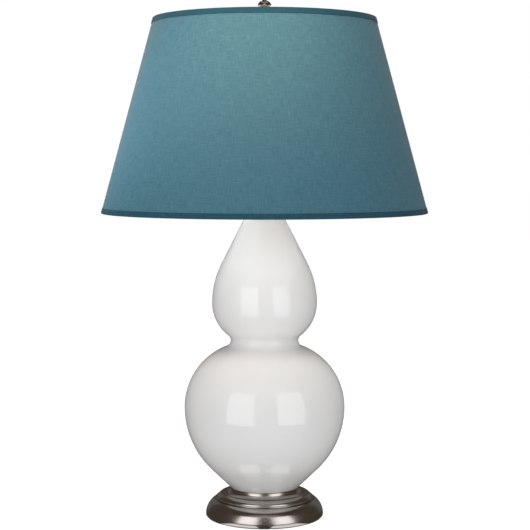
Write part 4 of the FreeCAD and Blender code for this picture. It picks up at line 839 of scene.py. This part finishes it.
@dataclass
class Foot(SubAssembly):
    """The moulded metal foot and everything that hangs in it, in millimetres."""

    bottom: float = 1.5
    radius: float = 87.9
    wall: float = 3.0
    rounding: float = 1.2
    dome_base: float = 3.5
    dome_top: float = 26.5
    dome_top_radius: float = 74.7
    bead_radius: float = 72.3
    bead_top: float = 29.1
    bead_bulge: float = 0.9
    torus_radius: float = 70.5
    torus_top: float = 35.5
    torus_top_radius: float = 60.7
    torus_bulge: float = 2.0
    collar_radius: float = 59.8
    collar_top: float = 43.2
    collar_hollow: float = 2.3
    lip_radius: float = 51.4
    lip_rounding: float = 0.7
    top: float = 44.2
    cup_radius: float = 48.4
    deck: float = 39.7
    deck_thickness: float = 3.2
    pipe_hole: float = 5.15
    seat_radius: float = 68.6
    seat_inside: float = 62.6
    weight_top: float = 24.5
    outlet: float = 7.9
    outlet_hole: float = 4.15
    flange_hole: float = 5.35
    flange_seat: float = 86.3
    drill_length: float = 20.0
    drill_sides: int = 64
    broken_edge: float = 0.25

    def metal_foot(self) -> None:
        """Turns the foot and drills the cord's way out at the back."""
        inside = self.radius - self.wall
        lip = self.lip_radius - self.lip_rounding
        ceiling = self.deck - self.deck_thickness
        dome = upright(self.radius - self.dome_top_radius, self.dome_top - self.dome_base)
        bead = bulging(0, self.bead_top - self.dome_top, self.bead_bulge)
        run, rise = self.torus_radius - self.torus_top_radius, self.torus_top - self.bead_top
        torus = bulging(run, rise, self.torus_bulge)
        run, rise = self.collar_radius - self.lip_radius, self.collar_top - self.torus_top
        collar = bulging(run, rise, self.collar_hollow)
        hollow = upright(inside - self.seat_radius, self.weight_top - self.dome_base)
        corners = (
            (inside, self.bottom),
            (self.radius - self.rounding, self.bottom),
            (self.radius, self.bottom + self.rounding, self.rounding, Turn.LEFT),
            (self.radius, self.dome_base),
            (self.dome_top_radius, self.dome_top, dome, Turn.LEFT),
            (self.bead_radius, self.dome_top),
            (self.bead_radius, self.bead_top, bead, Turn.LEFT),
            (self.torus_radius, self.bead_top),
            (self.torus_top_radius, self.torus_top, torus, Turn.LEFT),
            (self.collar_radius, self.torus_top),
            (self.lip_radius, self.collar_top, collar, Turn.RIGHT),
            (self.lip_radius, self.top - self.lip_rounding),
            (lip, self.top, self.lip_rounding, Turn.LEFT),
            (self.cup_radius, self.top),
            (self.cup_radius, self.deck),
            (self.pipe_hole, self.deck),
            (self.pipe_hole, ceiling),
            (self.cup_radius - self.wall, ceiling),
            (self.seat_inside, self.weight_top + self.wall),
            (self.seat_inside, self.weight_top),
            (self.seat_radius, self.weight_top),
            (inside, self.dome_base, hollow, Turn.RIGHT),
        )
        piece = self.turn("metal_foot", traced(corners), DARK_NICKEL, self.broken_edge)
        self.drill(piece, self.outlet_hole, self.seat_radius)
        self.drill(piece, self.flange_hole, self.flange_seat)

    def drill(self, piece: Piece, hole: float, near: float) -> None:
        """Drills a level hole into the back of the foot.

        Args:
            piece: The foot.
            hole: The hole's radius.
            near: How far from the axis it starts.
        """
        tool = added(
            bpy.ops.mesh.primitive_cylinder_add,
            "drill",
            vertices=self.drill_sides,
            radius=hole * MM,
            depth=self.drill_length * MM,
            location=(0, (near + self.drill_length / 2) * MM, self.outlet * MM),
            rotation=(math.pi / 2, 0, 0),
        )
        modify(piece, "BOOLEAN", operation="DIFFERENCE", object=tool)
        bpy.data.objects.remove(tool)

    def build(self) -> None:
        """Builds the foot and dresses the pieces in it."""
        self.metal_foot()
        self.dress(FELT, "felt_pad")
        self.dress(BOARD, "base_board")
        self.dress(IRON, "iron_weight")
        self.dress(ZINC, "weight_washer", "pipe_nut")
        self.dress(RUBBER, "cord_bushing")
        self.dress(PIPE_THREAD, "lamp_pipe")


@dataclass
class Gourd(SubAssembly):
    """The glazed double gourd and the rings that it is clamped between, in millimetres.

    Each arc of its side is given by its centre's radius and height and its own radius.
    """

    bottom: float = 40.7
    seam: float = 44.5
    mouth: float = 482.0
    wall: float = 5.0
    floor: float = 7.0
    floor_hole: float = 8.0
    spigot: float = 48.0
    foot_radius: float = 51.3
    neck_radius: float = 17.5
    under: Arc = (-8.2, 164.5, 127.6)
    over: Arc = (22.6, 164.5, 96.8)
    waist: Arc = (60.26, 264.3, 9.9)
    upper_under: Arc = (17.4, 320.3, 60.6)
    upper_over: Arc = (-51.8, 320.3, 129.8)
    hollow: Arc = (47.5, 477.7, 30.0)
    broken_edge: float = 0.5
    turn_steps: int = 240

    def side(self, inset: float) -> list[Point]:
        """The gourd's side from its foot up to its mouth.

        Args:
            inset: How far the line lies inside the glazed surface.

        Returns:
            Its points.
        """
        foot_end = (self.foot_radius, self.seam)
        lean = self.under[2] / math.dist(self.under[:2], foot_end)
        low = direction(self.under, foot_end) + math.degrees(math.acos(lean))
        into = direction(self.over, self.waist)
        out = direction(self.waist, self.upper_under)
        span = math.dist(self.upper_over[:2], self.hollow[:2])
        lean = (self.upper_over[2] + self.hollow[2]) / span
        high = direction(self.upper_over, self.hollow) - math.degrees(math.acos(lean))
        start = self.bottom + self.floor if inset else self.seam
        foot = swept(self.under[:2], self.under[2] - inset, low, 0)
        near, height = foot[0]
        return [
            (near - (start - height) * math.tan(math.radians(low)), start),
            *foot,
            *swept(self.over[:2], self.over[2] - inset, 0, into)[1:],
            *swept(self.waist[:2], self.waist[2] + inset, into + 180, out)[1:],
            *swept(self.upper_under[:2], self.upper_under[2] - inset, out - 180, 0)[1:],
            *swept(self.upper_over[:2], self.upper_over[2] - inset, 0, high)[1:],
            *swept(self.hollow[:2], self.hollow[2] + inset, high + 180, 180),
            (self.neck_radius - inset, self.mouth),
        ]

    def build(self) -> None:
        """Turns the gourd and dresses its rings."""
        outline = [
            (self.floor_hole, self.bottom),
            (self.spigot, self.bottom),
            (self.spigot, self.seam),
            *self.side(0.0),
            *reversed(self.side(self.wall)),
            (self.floor_hole, self.bottom + self.floor),
        ]
        self.turn("gourd_body", outline, GLAZE, self.broken_edge)
        self.dress(RUBBER, "foot_gasket", "neck_gasket")


@dataclass
class NeckFittings(SubAssembly):
    """The cap, spacer, saddle and nut on the gourd's neck."""

    def build(self) -> None:
        """Dresses the fittings."""
        self.dress(DARK_NICKEL, "vase_cap", "neck_spacer")
        self.dress(ZINC, "harp_saddle", "saddle_nut")


@dataclass
class Threaded(SubAssembly):
    """Pieces that have a sleeve with a rolled thread among them, in millimetres.

    The thread swings from deep inside the plain sleeve's outside to proud of it.
    """

    pitch: float = 3.6
    deep: float = 0.2
    proud: float = 0.15
    sheet: float = 0.4
    wave_steps: int = 8
    screw_steps: int = 48

    def roll(self, node: str, finish: Finish) -> None:
        """Rolls a threaded sleeve in place of a plain one.

        Args:
            node: The node of the plain sleeve.
            finish: The finish.
        """
        low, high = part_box(node)
        points = []
        for step in range(self.wave_steps + 1):
            share = step / self.wave_steps
            swell = (self.deep + self.proud) * (1 - math.cos(math.tau * share)) / 2
            radius = high.x + (swell - self.deep) * MM
            points.append((radius, low.z + self.pitch * (share - 1) * MM))
        piece = pulled(f"{node}_rolled", points)
        modify(
            piece,
            "SCREW",
            screw_offset=self.pitch * MM,
            iterations=math.ceil((high.z - low.z) / (self.pitch * MM)) + 2,
            steps=self.screw_steps,
            render_steps=self.screw_steps,
        )
        with editing(piece):
            bpy.ops.mesh.remove_doubles(threshold=THREAD_WELD)
            for level, side in ((low.z, -1), (high.z, 1)):
                bpy.ops.mesh.select_all(action="SELECT")
                plane = {"plane_co": (0, 0, level), "plane_no": (0, 0, side)}
                bpy.ops.mesh.bisect(**plane, clear_outer=True)
            bpy.ops.mesh.select_all(action="SELECT")
            bpy.ops.mesh.normals_make_consistent(inside=False)
        thicken(piece, self.sheet * MM, -1)
        finish_piece(piece, finish, self.body_of(node), node)


@dataclass
class Socket(Threaded):
    """The lampholder with its turn switch."""

    def build(self) -> None:
        """Rolls the threaded shell and dresses the rest."""
        self.roll("screw_shell", BRASS)
        self.dress(SATIN_NICKEL, "socket_cap", "socket_shell")
        self.dress(FIBRE, "shell_sleeve")
        self.dress(PHENOLIC, "socket_core", "switch_knob")
        self.dress(BRASS, "terminal_screws", "centre_contact")
        self.dress(ZINC, "cap_screw", "switch_shaft")


@dataclass
class Bulb(Threaded):
    """The frosted bulb with its rolled screw cap, in millimetres."""

    deep: float = 0.35
    proud: float = 0.1

    def build(self) -> None:
        """Rolls the screw cap and dresses the rest."""
        self.roll("bulb_cap", ALUMINIUM)
        self.dress(BULB_GLASS, "bulb_glass")
        self.dress(VITREOUS, "bulb_insulator")
        self.dress(BRASS, "bulb_contact")


@dataclass
class Harp(SubAssembly):
    """The harp with its swivelling stud and its two lifting ferrules."""

    def build(self) -> None:
        """Dresses the harp."""
        self.dress(SATIN_NICKEL, "harp", "harp_stud", "harp_ferrule_left", "harp_ferrule_right")


@dataclass
class Finial(SubAssembly):
    """The turned finial and its threaded insert."""

    def build(self) -> None:
        """Dresses the finial."""
        self.dress(DARK_NICKEL, "finial")
        self.dress(BRASS, "finial_insert")


@dataclass
class Shade(SubAssembly):
    """The cloth on the shade's cone, its lapped seam at the back and the bands over its edges.

    Angles go round from the front to the right, and the cloth's two ends meet at the back.
    """

    top_radius: float = 163.1 * MM
    bottom_radius: float = 240.6 * MM
    ring_wire: float = 2.6 * MM
    cloth: float = 0.5 * MM
    gap: float = 0.05 * MM
    band: float = 0.6 * MM
    band_width: float = 8.0 * MM
    band_fold: float = 1.2 * MM
    fold_steps: int = 4
    flap: float = 4.0 * MM
    facets: int = 288
    rows: int = 12
    seam_facets: int = 3
    near_seam: float = math.radians(170)
    arms: int = 3
    hub_bead: float = 2.2 * MM
    ring_bead: float = 1.9 * MM
    bead_squash: float = 0.72

    def __post_init__(self) -> None:
        """Reads the heights from the frame and works out the cone that the cloth is cut for."""
        low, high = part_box("shade_fabric")
        self.bottom, self.top = low.z, high.z
        self.height = self.top - self.bottom
        self.taper = (self.bottom_radius - self.top_radius) / self.height
        self.sine = math.sin(math.atan(self.taper))

    def cut_place(self, angle: float, place: Vector) -> Point:
        """Where a point of the cone, at an angle round it, lies on the flat cut."""
        reach = (self.bottom_radius - (place.z - self.bottom) * self.taper) / self.sine
        return reach * math.sin(angle * self.sine), -reach * math.cos(angle * self.sine)

    def lay(self, piece: Piece, cut: Callable[[float, Vector], Point]) -> None:
        """Writes the places of a piece's corners on its cut into its UV map.

        Args:
            piece: The piece.
            cut: Gives the place on the cut, in metres, for an angle round the shade and a point.
        """
        mesh = piece.data
        layer = mesh.uv_layers.active or mesh.uv_layers.new(name="cut")
        for face in mesh.polygons:
            for loop in face.loop_indices:
                place = mesh.vertices[mesh.loops[loop].vertex_index].co
                angle = math.atan2(place.x, -place.y)
                if abs(angle) > self.near_seam and angle * face.center.x < 0:
                    angle -= math.copysign(math.tau, angle)
                layer.data[loop].uv = cut(angle, place)

    def cone(self, name: str) -> Piece:
        """Makes the bare cone of the shade's outside.

        Args:
            name: The piece's name.

        Returns:
            The cone, divided into rows.
        """
        piece = added(
            bpy.ops.mesh.primitive_cone_add,
            name,
            vertices=self.facets,
            radius1=self.bottom_radius,
            radius2=self.top_radius,
            depth=self.height,
            end_fill_type="NOTHING",
            location=(0, 0, (self.top + self.bottom) / 2),
        )
        settle(piece)
        with editing(piece):
            select_where(piece, Element.EDGE, lambda edge: climb(piece, edge) > self.height / 2)
            bpy.ops.mesh.subdivide(number_cuts=self.rows - 1)
        return piece

    def make_cloth(self) -> Piece:
        """Makes the linen round the cone.

        Returns:
            The cloth.
        """
        piece = self.cone("shade_cloth")
        thicken(piece, self.cloth, -1)
        self.lay(piece, self.cut_place)
        return finish_piece(piece, TEAL_LINEN, "shade", "shade_fabric")

    def make_seam(self) -> Piece:
        """Makes the lap of the cloth over its own end, at the back.

        Returns:
            The lap.
        """
        piece = self.cone("shade_seam")
        half = math.pi * self.seam_facets / self.facets
        with editing(piece):
            select_where(
                piece,
                Element.FACE,
                lambda face: abs(math.atan2(face.center.x, face.center.y)) > half,
            )
            bpy.ops.mesh.delete(type="FACE")
            bpy.ops.mesh.select_all(action="SELECT")
            bpy.ops.transform.shrink_fatten(value=self.gap)
        thicken(piece, self.cloth, 1)
        self.lay(piece, self.cut_place)
        return finish_piece(piece, TEAL_LINEN, "shade")

    def make_band(self, side: Edge) -> Piece:
        """Makes the self-cloth band folded over one edge and round its wire ring.

        Args:
            side: Which edge.

        Returns:
            The band.
        """
        end = side.name.lower()
        low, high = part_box(f"shade_{end}_trim")
        edge, rim = (high.z, self.top_radius) if side > 0 else (low.z, self.bottom_radius)
        wall, fold = self.band / 2, self.band_fold
        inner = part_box(f"shade_{end}_ring")[1].x - self.ring_wire - wall
        outer = rim + (wall + fold) * self.taper * side + self.gap + wall
        lean = (self.band_width - wall - fold) * self.taper * side
        crest = edge - wall * side
        profile = [(outer + lean, edge - self.band_width * side)]
        for centre, start in ((outer - fold, 0), (inner + fold, math.pi / 2)):
            for step in range(self.fold_steps + 1):
                turn = start + math.pi / 2 * step / self.fold_steps
                height = crest - fold * side * (1 - math.sin(turn))
                profile.append((centre + fold * math.cos(turn), height))
        profile.append((inner, crest - self.flap * side))
        piece = spun(f"shade_{end}_trim_band", profile, self.facets)
        thicken(piece, self.band, 0)
        self.lay(
            piece,
            lambda angle, place: (
                angle * self.bottom_radius,
                side * place.z - math.hypot(place.x, place.y),
            ),
        )
        return finish_piece(piece, TEAL_BAND, "shade", f"shade_{end}_trim")

    def make_solder(self) -> None:
        """Melts the solder where the spider's arms meet the hub and the upper ring."""
        hub_low, hub_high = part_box("spider_hub")
        ring_low, ring_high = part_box("shade_top_ring")
        spots = (
            (hub_high.x, (hub_low.z + hub_high.z) / 2, self.hub_bead),
            (ring_high.x - self.ring_wire / 2, ring_low.z, self.ring_bead),
        )
        beads = []
        for arm in range(self.arms):
            angle = math.tau * arm / self.arms
            for reach, height, radius in spots:
                place = (reach * math.cos(angle), reach * math.sin(angle), height)
                ball = {"segments": 20, "ring_count": 12, "radius": radius, "location": place}
                bead = added(bpy.ops.mesh.primitive_uv_sphere_add, "bead", **ball)
                settle(bead)
                with editing(bead):
                    squash = (1, 1, self.bead_squash)
                    bpy.ops.transform.resize(value=squash, center_override=place)
                beads.append(bead)
        for bead in beads:
            bead.select_set(True)
        bpy.ops.object.join()
        piece = bpy.context.object
        piece.name = "spider_solder"
        finish_piece(piece, SOLDER, "shade")

    def build(self) -> None:
        self.dress(ENAMEL, "shade_top_ring", "shade_bottom_ring", "spider_hub", "spider_arms")
        self.dress(LINER, "shade_liner")
        cloth = self.make_cloth()
        seam = self.make_seam()
        bands = [self.make_band(side) for side in Edge]
        self.make_solder()


# The studio -------------------------------------------------------------------------------------


def around(angle: float, distance: float, height: float) -> Place:
    """A place round the lamp, at an angle in degrees from the camera's side to the right."""
    turn = math.radians(angle)
    return distance * math.sin(turn), -distance * math.cos(turn), height


def bare_graph(owner: Material | bpy.types.World) -> Graph:
    """The emptied node tree of a material or a world.

    Args:
        owner: The material or the world.

    Returns:
        Its graph.
    """
    owner.use_nodes = True
    owner.node_tree.nodes.clear()
    return Graph(owner.node_tree)


@dataclass(frozen=True)
class Card:
    """A bright card that only reflections show, where a glow of 1 is white.

    Its angle goes from the camera's side to the right, in degrees, and its distance is from the
    axis. It looks up by its lean in degrees, and at 90 it lies on its back.
    """

    name: str
    angle: float
    distance: float
    height: float
    size: Point
    glow: float
    lean: float = 0.0


CARDS = (
    Card("left card", -32, 0.65, 0.275, (0.44, 0.573), 2.1),
    Card("right card", 36, 0.65, 0.275, (0.44, 0.573), 2.0),
    Card("top card", 0, 0.68, 0.758, (0.9, 0.3), 0.4, -51),
    Card("finial card", 0, 0.3, 0.86, (0.2, 0.12), 1.2, -15),
    Card("left back card", -150, 1.2, 0.3, (0.5, 0.8), 0.17),
    Card("right back card", 146, 1.2, 0.3, (0.5, 0.8), 0.17),
    Card("left table card", -26, 0.1, 0.0006, (0.062, 0.05), 1.35, 90),
    Card("right table card", 26, 0.1, 0.0006, (0.062, 0.05), 1.35, 90),
    Card("ceiling card", 180, 0.3, 2.1, (1.4, 1.4), 0.8, 90),
)


@dataclass
class Studio:
    """Camera, floor, background, lamps and the cards that reflections show."""

    camera_place: Place = (0.0007, -2.1, 0.5344)
    camera_pitch: float = 4.3
    lens: float = 96.3
    sensor: float = 36.0
    ambient: float = 0.43
    drapes_radius: float = 6.5
    drapes_colour: Colour = (0.085, 0.068, 0.052)
    floor_size: float = 14.0
    floor_glow: float = 0.9
    floor_colour: Colour = (0.8, 0.8, 0.8)
    floor_shown: Colour = (0.3, 0.3, 0.3)
    softbox_distance: float = 1.7
    softbox_height: float = 0.3
    softbox_size: Point = (1.15, 1.5)
    spot_softness: float = 0.12

    def place_camera(self) -> None:
        """Sets the camera where the photograph was taken from."""
        data = bpy.data.cameras.new("Camera")
        data.lens = self.lens
        data.sensor_width = self.sensor
        camera = bpy.data.objects.new("Camera", data)
        camera.location = self.camera_place
        camera.rotation_euler = (math.radians(90 - self.camera_pitch), 0, 0)
        bpy.context.collection.objects.link(camera)
        bpy.context.scene.camera = camera

    def lamp(
        self, name: str, kind: str, place: Place, aim: Place, power: float, **settings: object
    ) -> None:
        """Adds a lamp that reflections don't show.

        Args:
            name: The lamp's name.
            kind: Blender's type of light.
            place: Where it stands.
            aim: What it points at.
            power: Its power in watts.
            **settings: Attributes of the light and their values.
        """
        data = bpy.data.lights.new(name, kind)
        data.energy = power
        for label, value in settings.items():
            setattr(data, label, value)
        lamp = bpy.data.objects.new(name, data)
        lamp.location = place
        lamp.rotation_euler = (Vector(aim) - Vector(place)).to_track_quat("-Z", "Y").to_euler()
        lamp.visible_glossy = False
        bpy.context.collection.objects.link(lamp)

    def light(self) -> None:
        """Sets two softboxes in front, one overhead, two spots on the shade and one on the neck."""
        distance, height = self.softbox_distance, self.softbox_height
        middle, size = (0, 0, height), self.softbox_size
        softboxes = (
            ("Left softbox", around(-34, distance, height), middle, size, 2.15),
            ("Right softbox", around(38, distance, height), middle, size, 1.62),
            ("Overhead softbox", (0, 0, 2.0), (0, 0, 0), (0.7, 0.7), 6.4),
        )
        for name, place, aim, (wide, high), glow in softboxes:
            face = {"shape": "RECTANGLE", "size": wide, "size_y": high}
            self.lamp(name, "AREA", place, aim, math.pi * wide * high * glow, **face)
        warm, cool = (1.0, 0.62, 0.43), (0.8, 0.96, 1.0)
        spots = (
            ("Shade spot", (-0.05, -0.95, 1.35), (-0.05, -0.15, 0.77), 32, 1.0, 98, warm),
            ("Left spot", (-1.35, -0.05, 0.43), (-0.2, -0.05, 0.59), 17.0, 0.25, 55, cool),
            ("Neck spot", (-0.1, -1.2, 0.12), (0, 0, 0.457), 9.5, 0.9, 16.5, WHITE),
        )
        for name, place, aim, cone, blend, power, colour in spots:
            beam = {"spot_size": math.radians(cone), "spot_blend": blend, "color": colour}
            beam["shadow_soft_size"] = self.spot_softness
            self.lamp(name, "SPOT", place, aim, power, **beam)

    def hang_cards(self) -> None:
        """Sets the cards in front of the lamp, over, behind and beside it."""
        for card in CARDS:
            turn = math.radians(card.angle)
            panel = added(
                bpy.ops.mesh.primitive_plane_add,
                card.name,
                size=1,
                location=around(card.angle, card.distance, card.height),
                rotation=(math.pi / 2 + math.radians(card.lean), 0, turn),
            )
            panel.scale = (*card.size, 1)
            self.only_reflected(panel, (card.glow,) * 3)

    def hang_drapes(self) -> None:
        """Hangs the dark drapes of the room, which only reflections show."""
        ball = {"segments": 48, "ring_count": 24, "radius": self.drapes_radius}
        drapes = added(bpy.ops.mesh.primitive_uv_sphere_add, "drapes", **ball)
        self.only_reflected(drapes, self.drapes_colour)

    def only_reflected(self, panel: Piece, colour: Colour) -> None:
        """Makes a stage piece glow, and hides it from all but reflections.

        Args:
            panel: The stage piece.
            colour: The colour that it glows in.
        """
        material = bpy.data.materials.new(panel.name)
        graph = bare_graph(material)
        glow = graph.add("Emission", {"Color": colour})
        graph.add("OutputMaterial", {"Surface": glow.outputs[0]})
        panel.data.materials.append(material)
        for ray in ("camera", "diffuse", "transmission", "volume_scatter", "shadow"):
            setattr(panel, f"visible_{ray}", False)

    def lay_floor(self) -> None:
        """Lays a white floor that keeps the lamp's soft shadow."""
        floor = added(bpy.ops.mesh.primitive_plane_add, "floor", size=self.floor_size)
        material = bpy.data.materials.new("white floor")
        graph = bare_graph(material)
        rays = graph.add("LightPath").outputs
        plain = graph.add("BsdfDiffuse", {"Color": self.floor_colour})
        faint = graph.add("BsdfDiffuse", {"Color": self.floor_shown})
        glow = graph.add("Emission", {"Color": WHITE, "Strength": self.floor_glow})
        shown = graph.add("AddShader", (faint.outputs[0], glow.outputs[0]))
        layers = (rays["Is Camera Ray"], plain.outputs[0], shown.outputs[0])
        surface = graph.add("MixShader", layers).outputs[0]
        graph.add("OutputMaterial", {"Surface": surface})
        floor.data.materials.append(material)
        floor.visible_glossy = False

    def set_world(self) -> None:
        """Lights the lamp evenly, and shows the camera, gloss and glass a white background."""
        world = bpy.data.worlds.new("Studio")
        bpy.context.scene.world = world
        graph = bare_graph(world)
        rays = graph.add("LightPath").outputs
        seen = graph.calculate("ADD", rays["Is Camera Ray"], rays["Is Glossy Ray"])
        seen = graph.calculate("ADD", seen, rays["Is Transmission Ray"])
        seen = graph.calculate("MINIMUM", seen, 1.0)
        strength = graph.spread(seen, self.ambient, 1.0)
        background = graph.add("Background", {"Color": WHITE, "Strength": strength})
        graph.add("OutputWorld", {"Surface": background.outputs[0]})

    def build(self) -> None:
        """Builds the studio."""
        bpy.context.scene.view_settings.view_transform = "Standard"
        self.place_camera()
        self.set_world()
        self.lay_floor()
        self.hang_drapes()
        self.hang_cards()
        self.light()


def main() -> None:
    """Builds the studio and the lamp's pieces."""
    logging.basicConfig(level=logging.INFO, format="%(name)s: %(message)s")
    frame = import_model()
    Studio().build()
    for assembly in (Foot, Gourd, NeckFittings, Socket, Bulb, Harp, Shade, Finial):
        log.info("building the %s", assembly.__name__)
        assembly(frame).build()


if __name__ == "__main__":
    main()
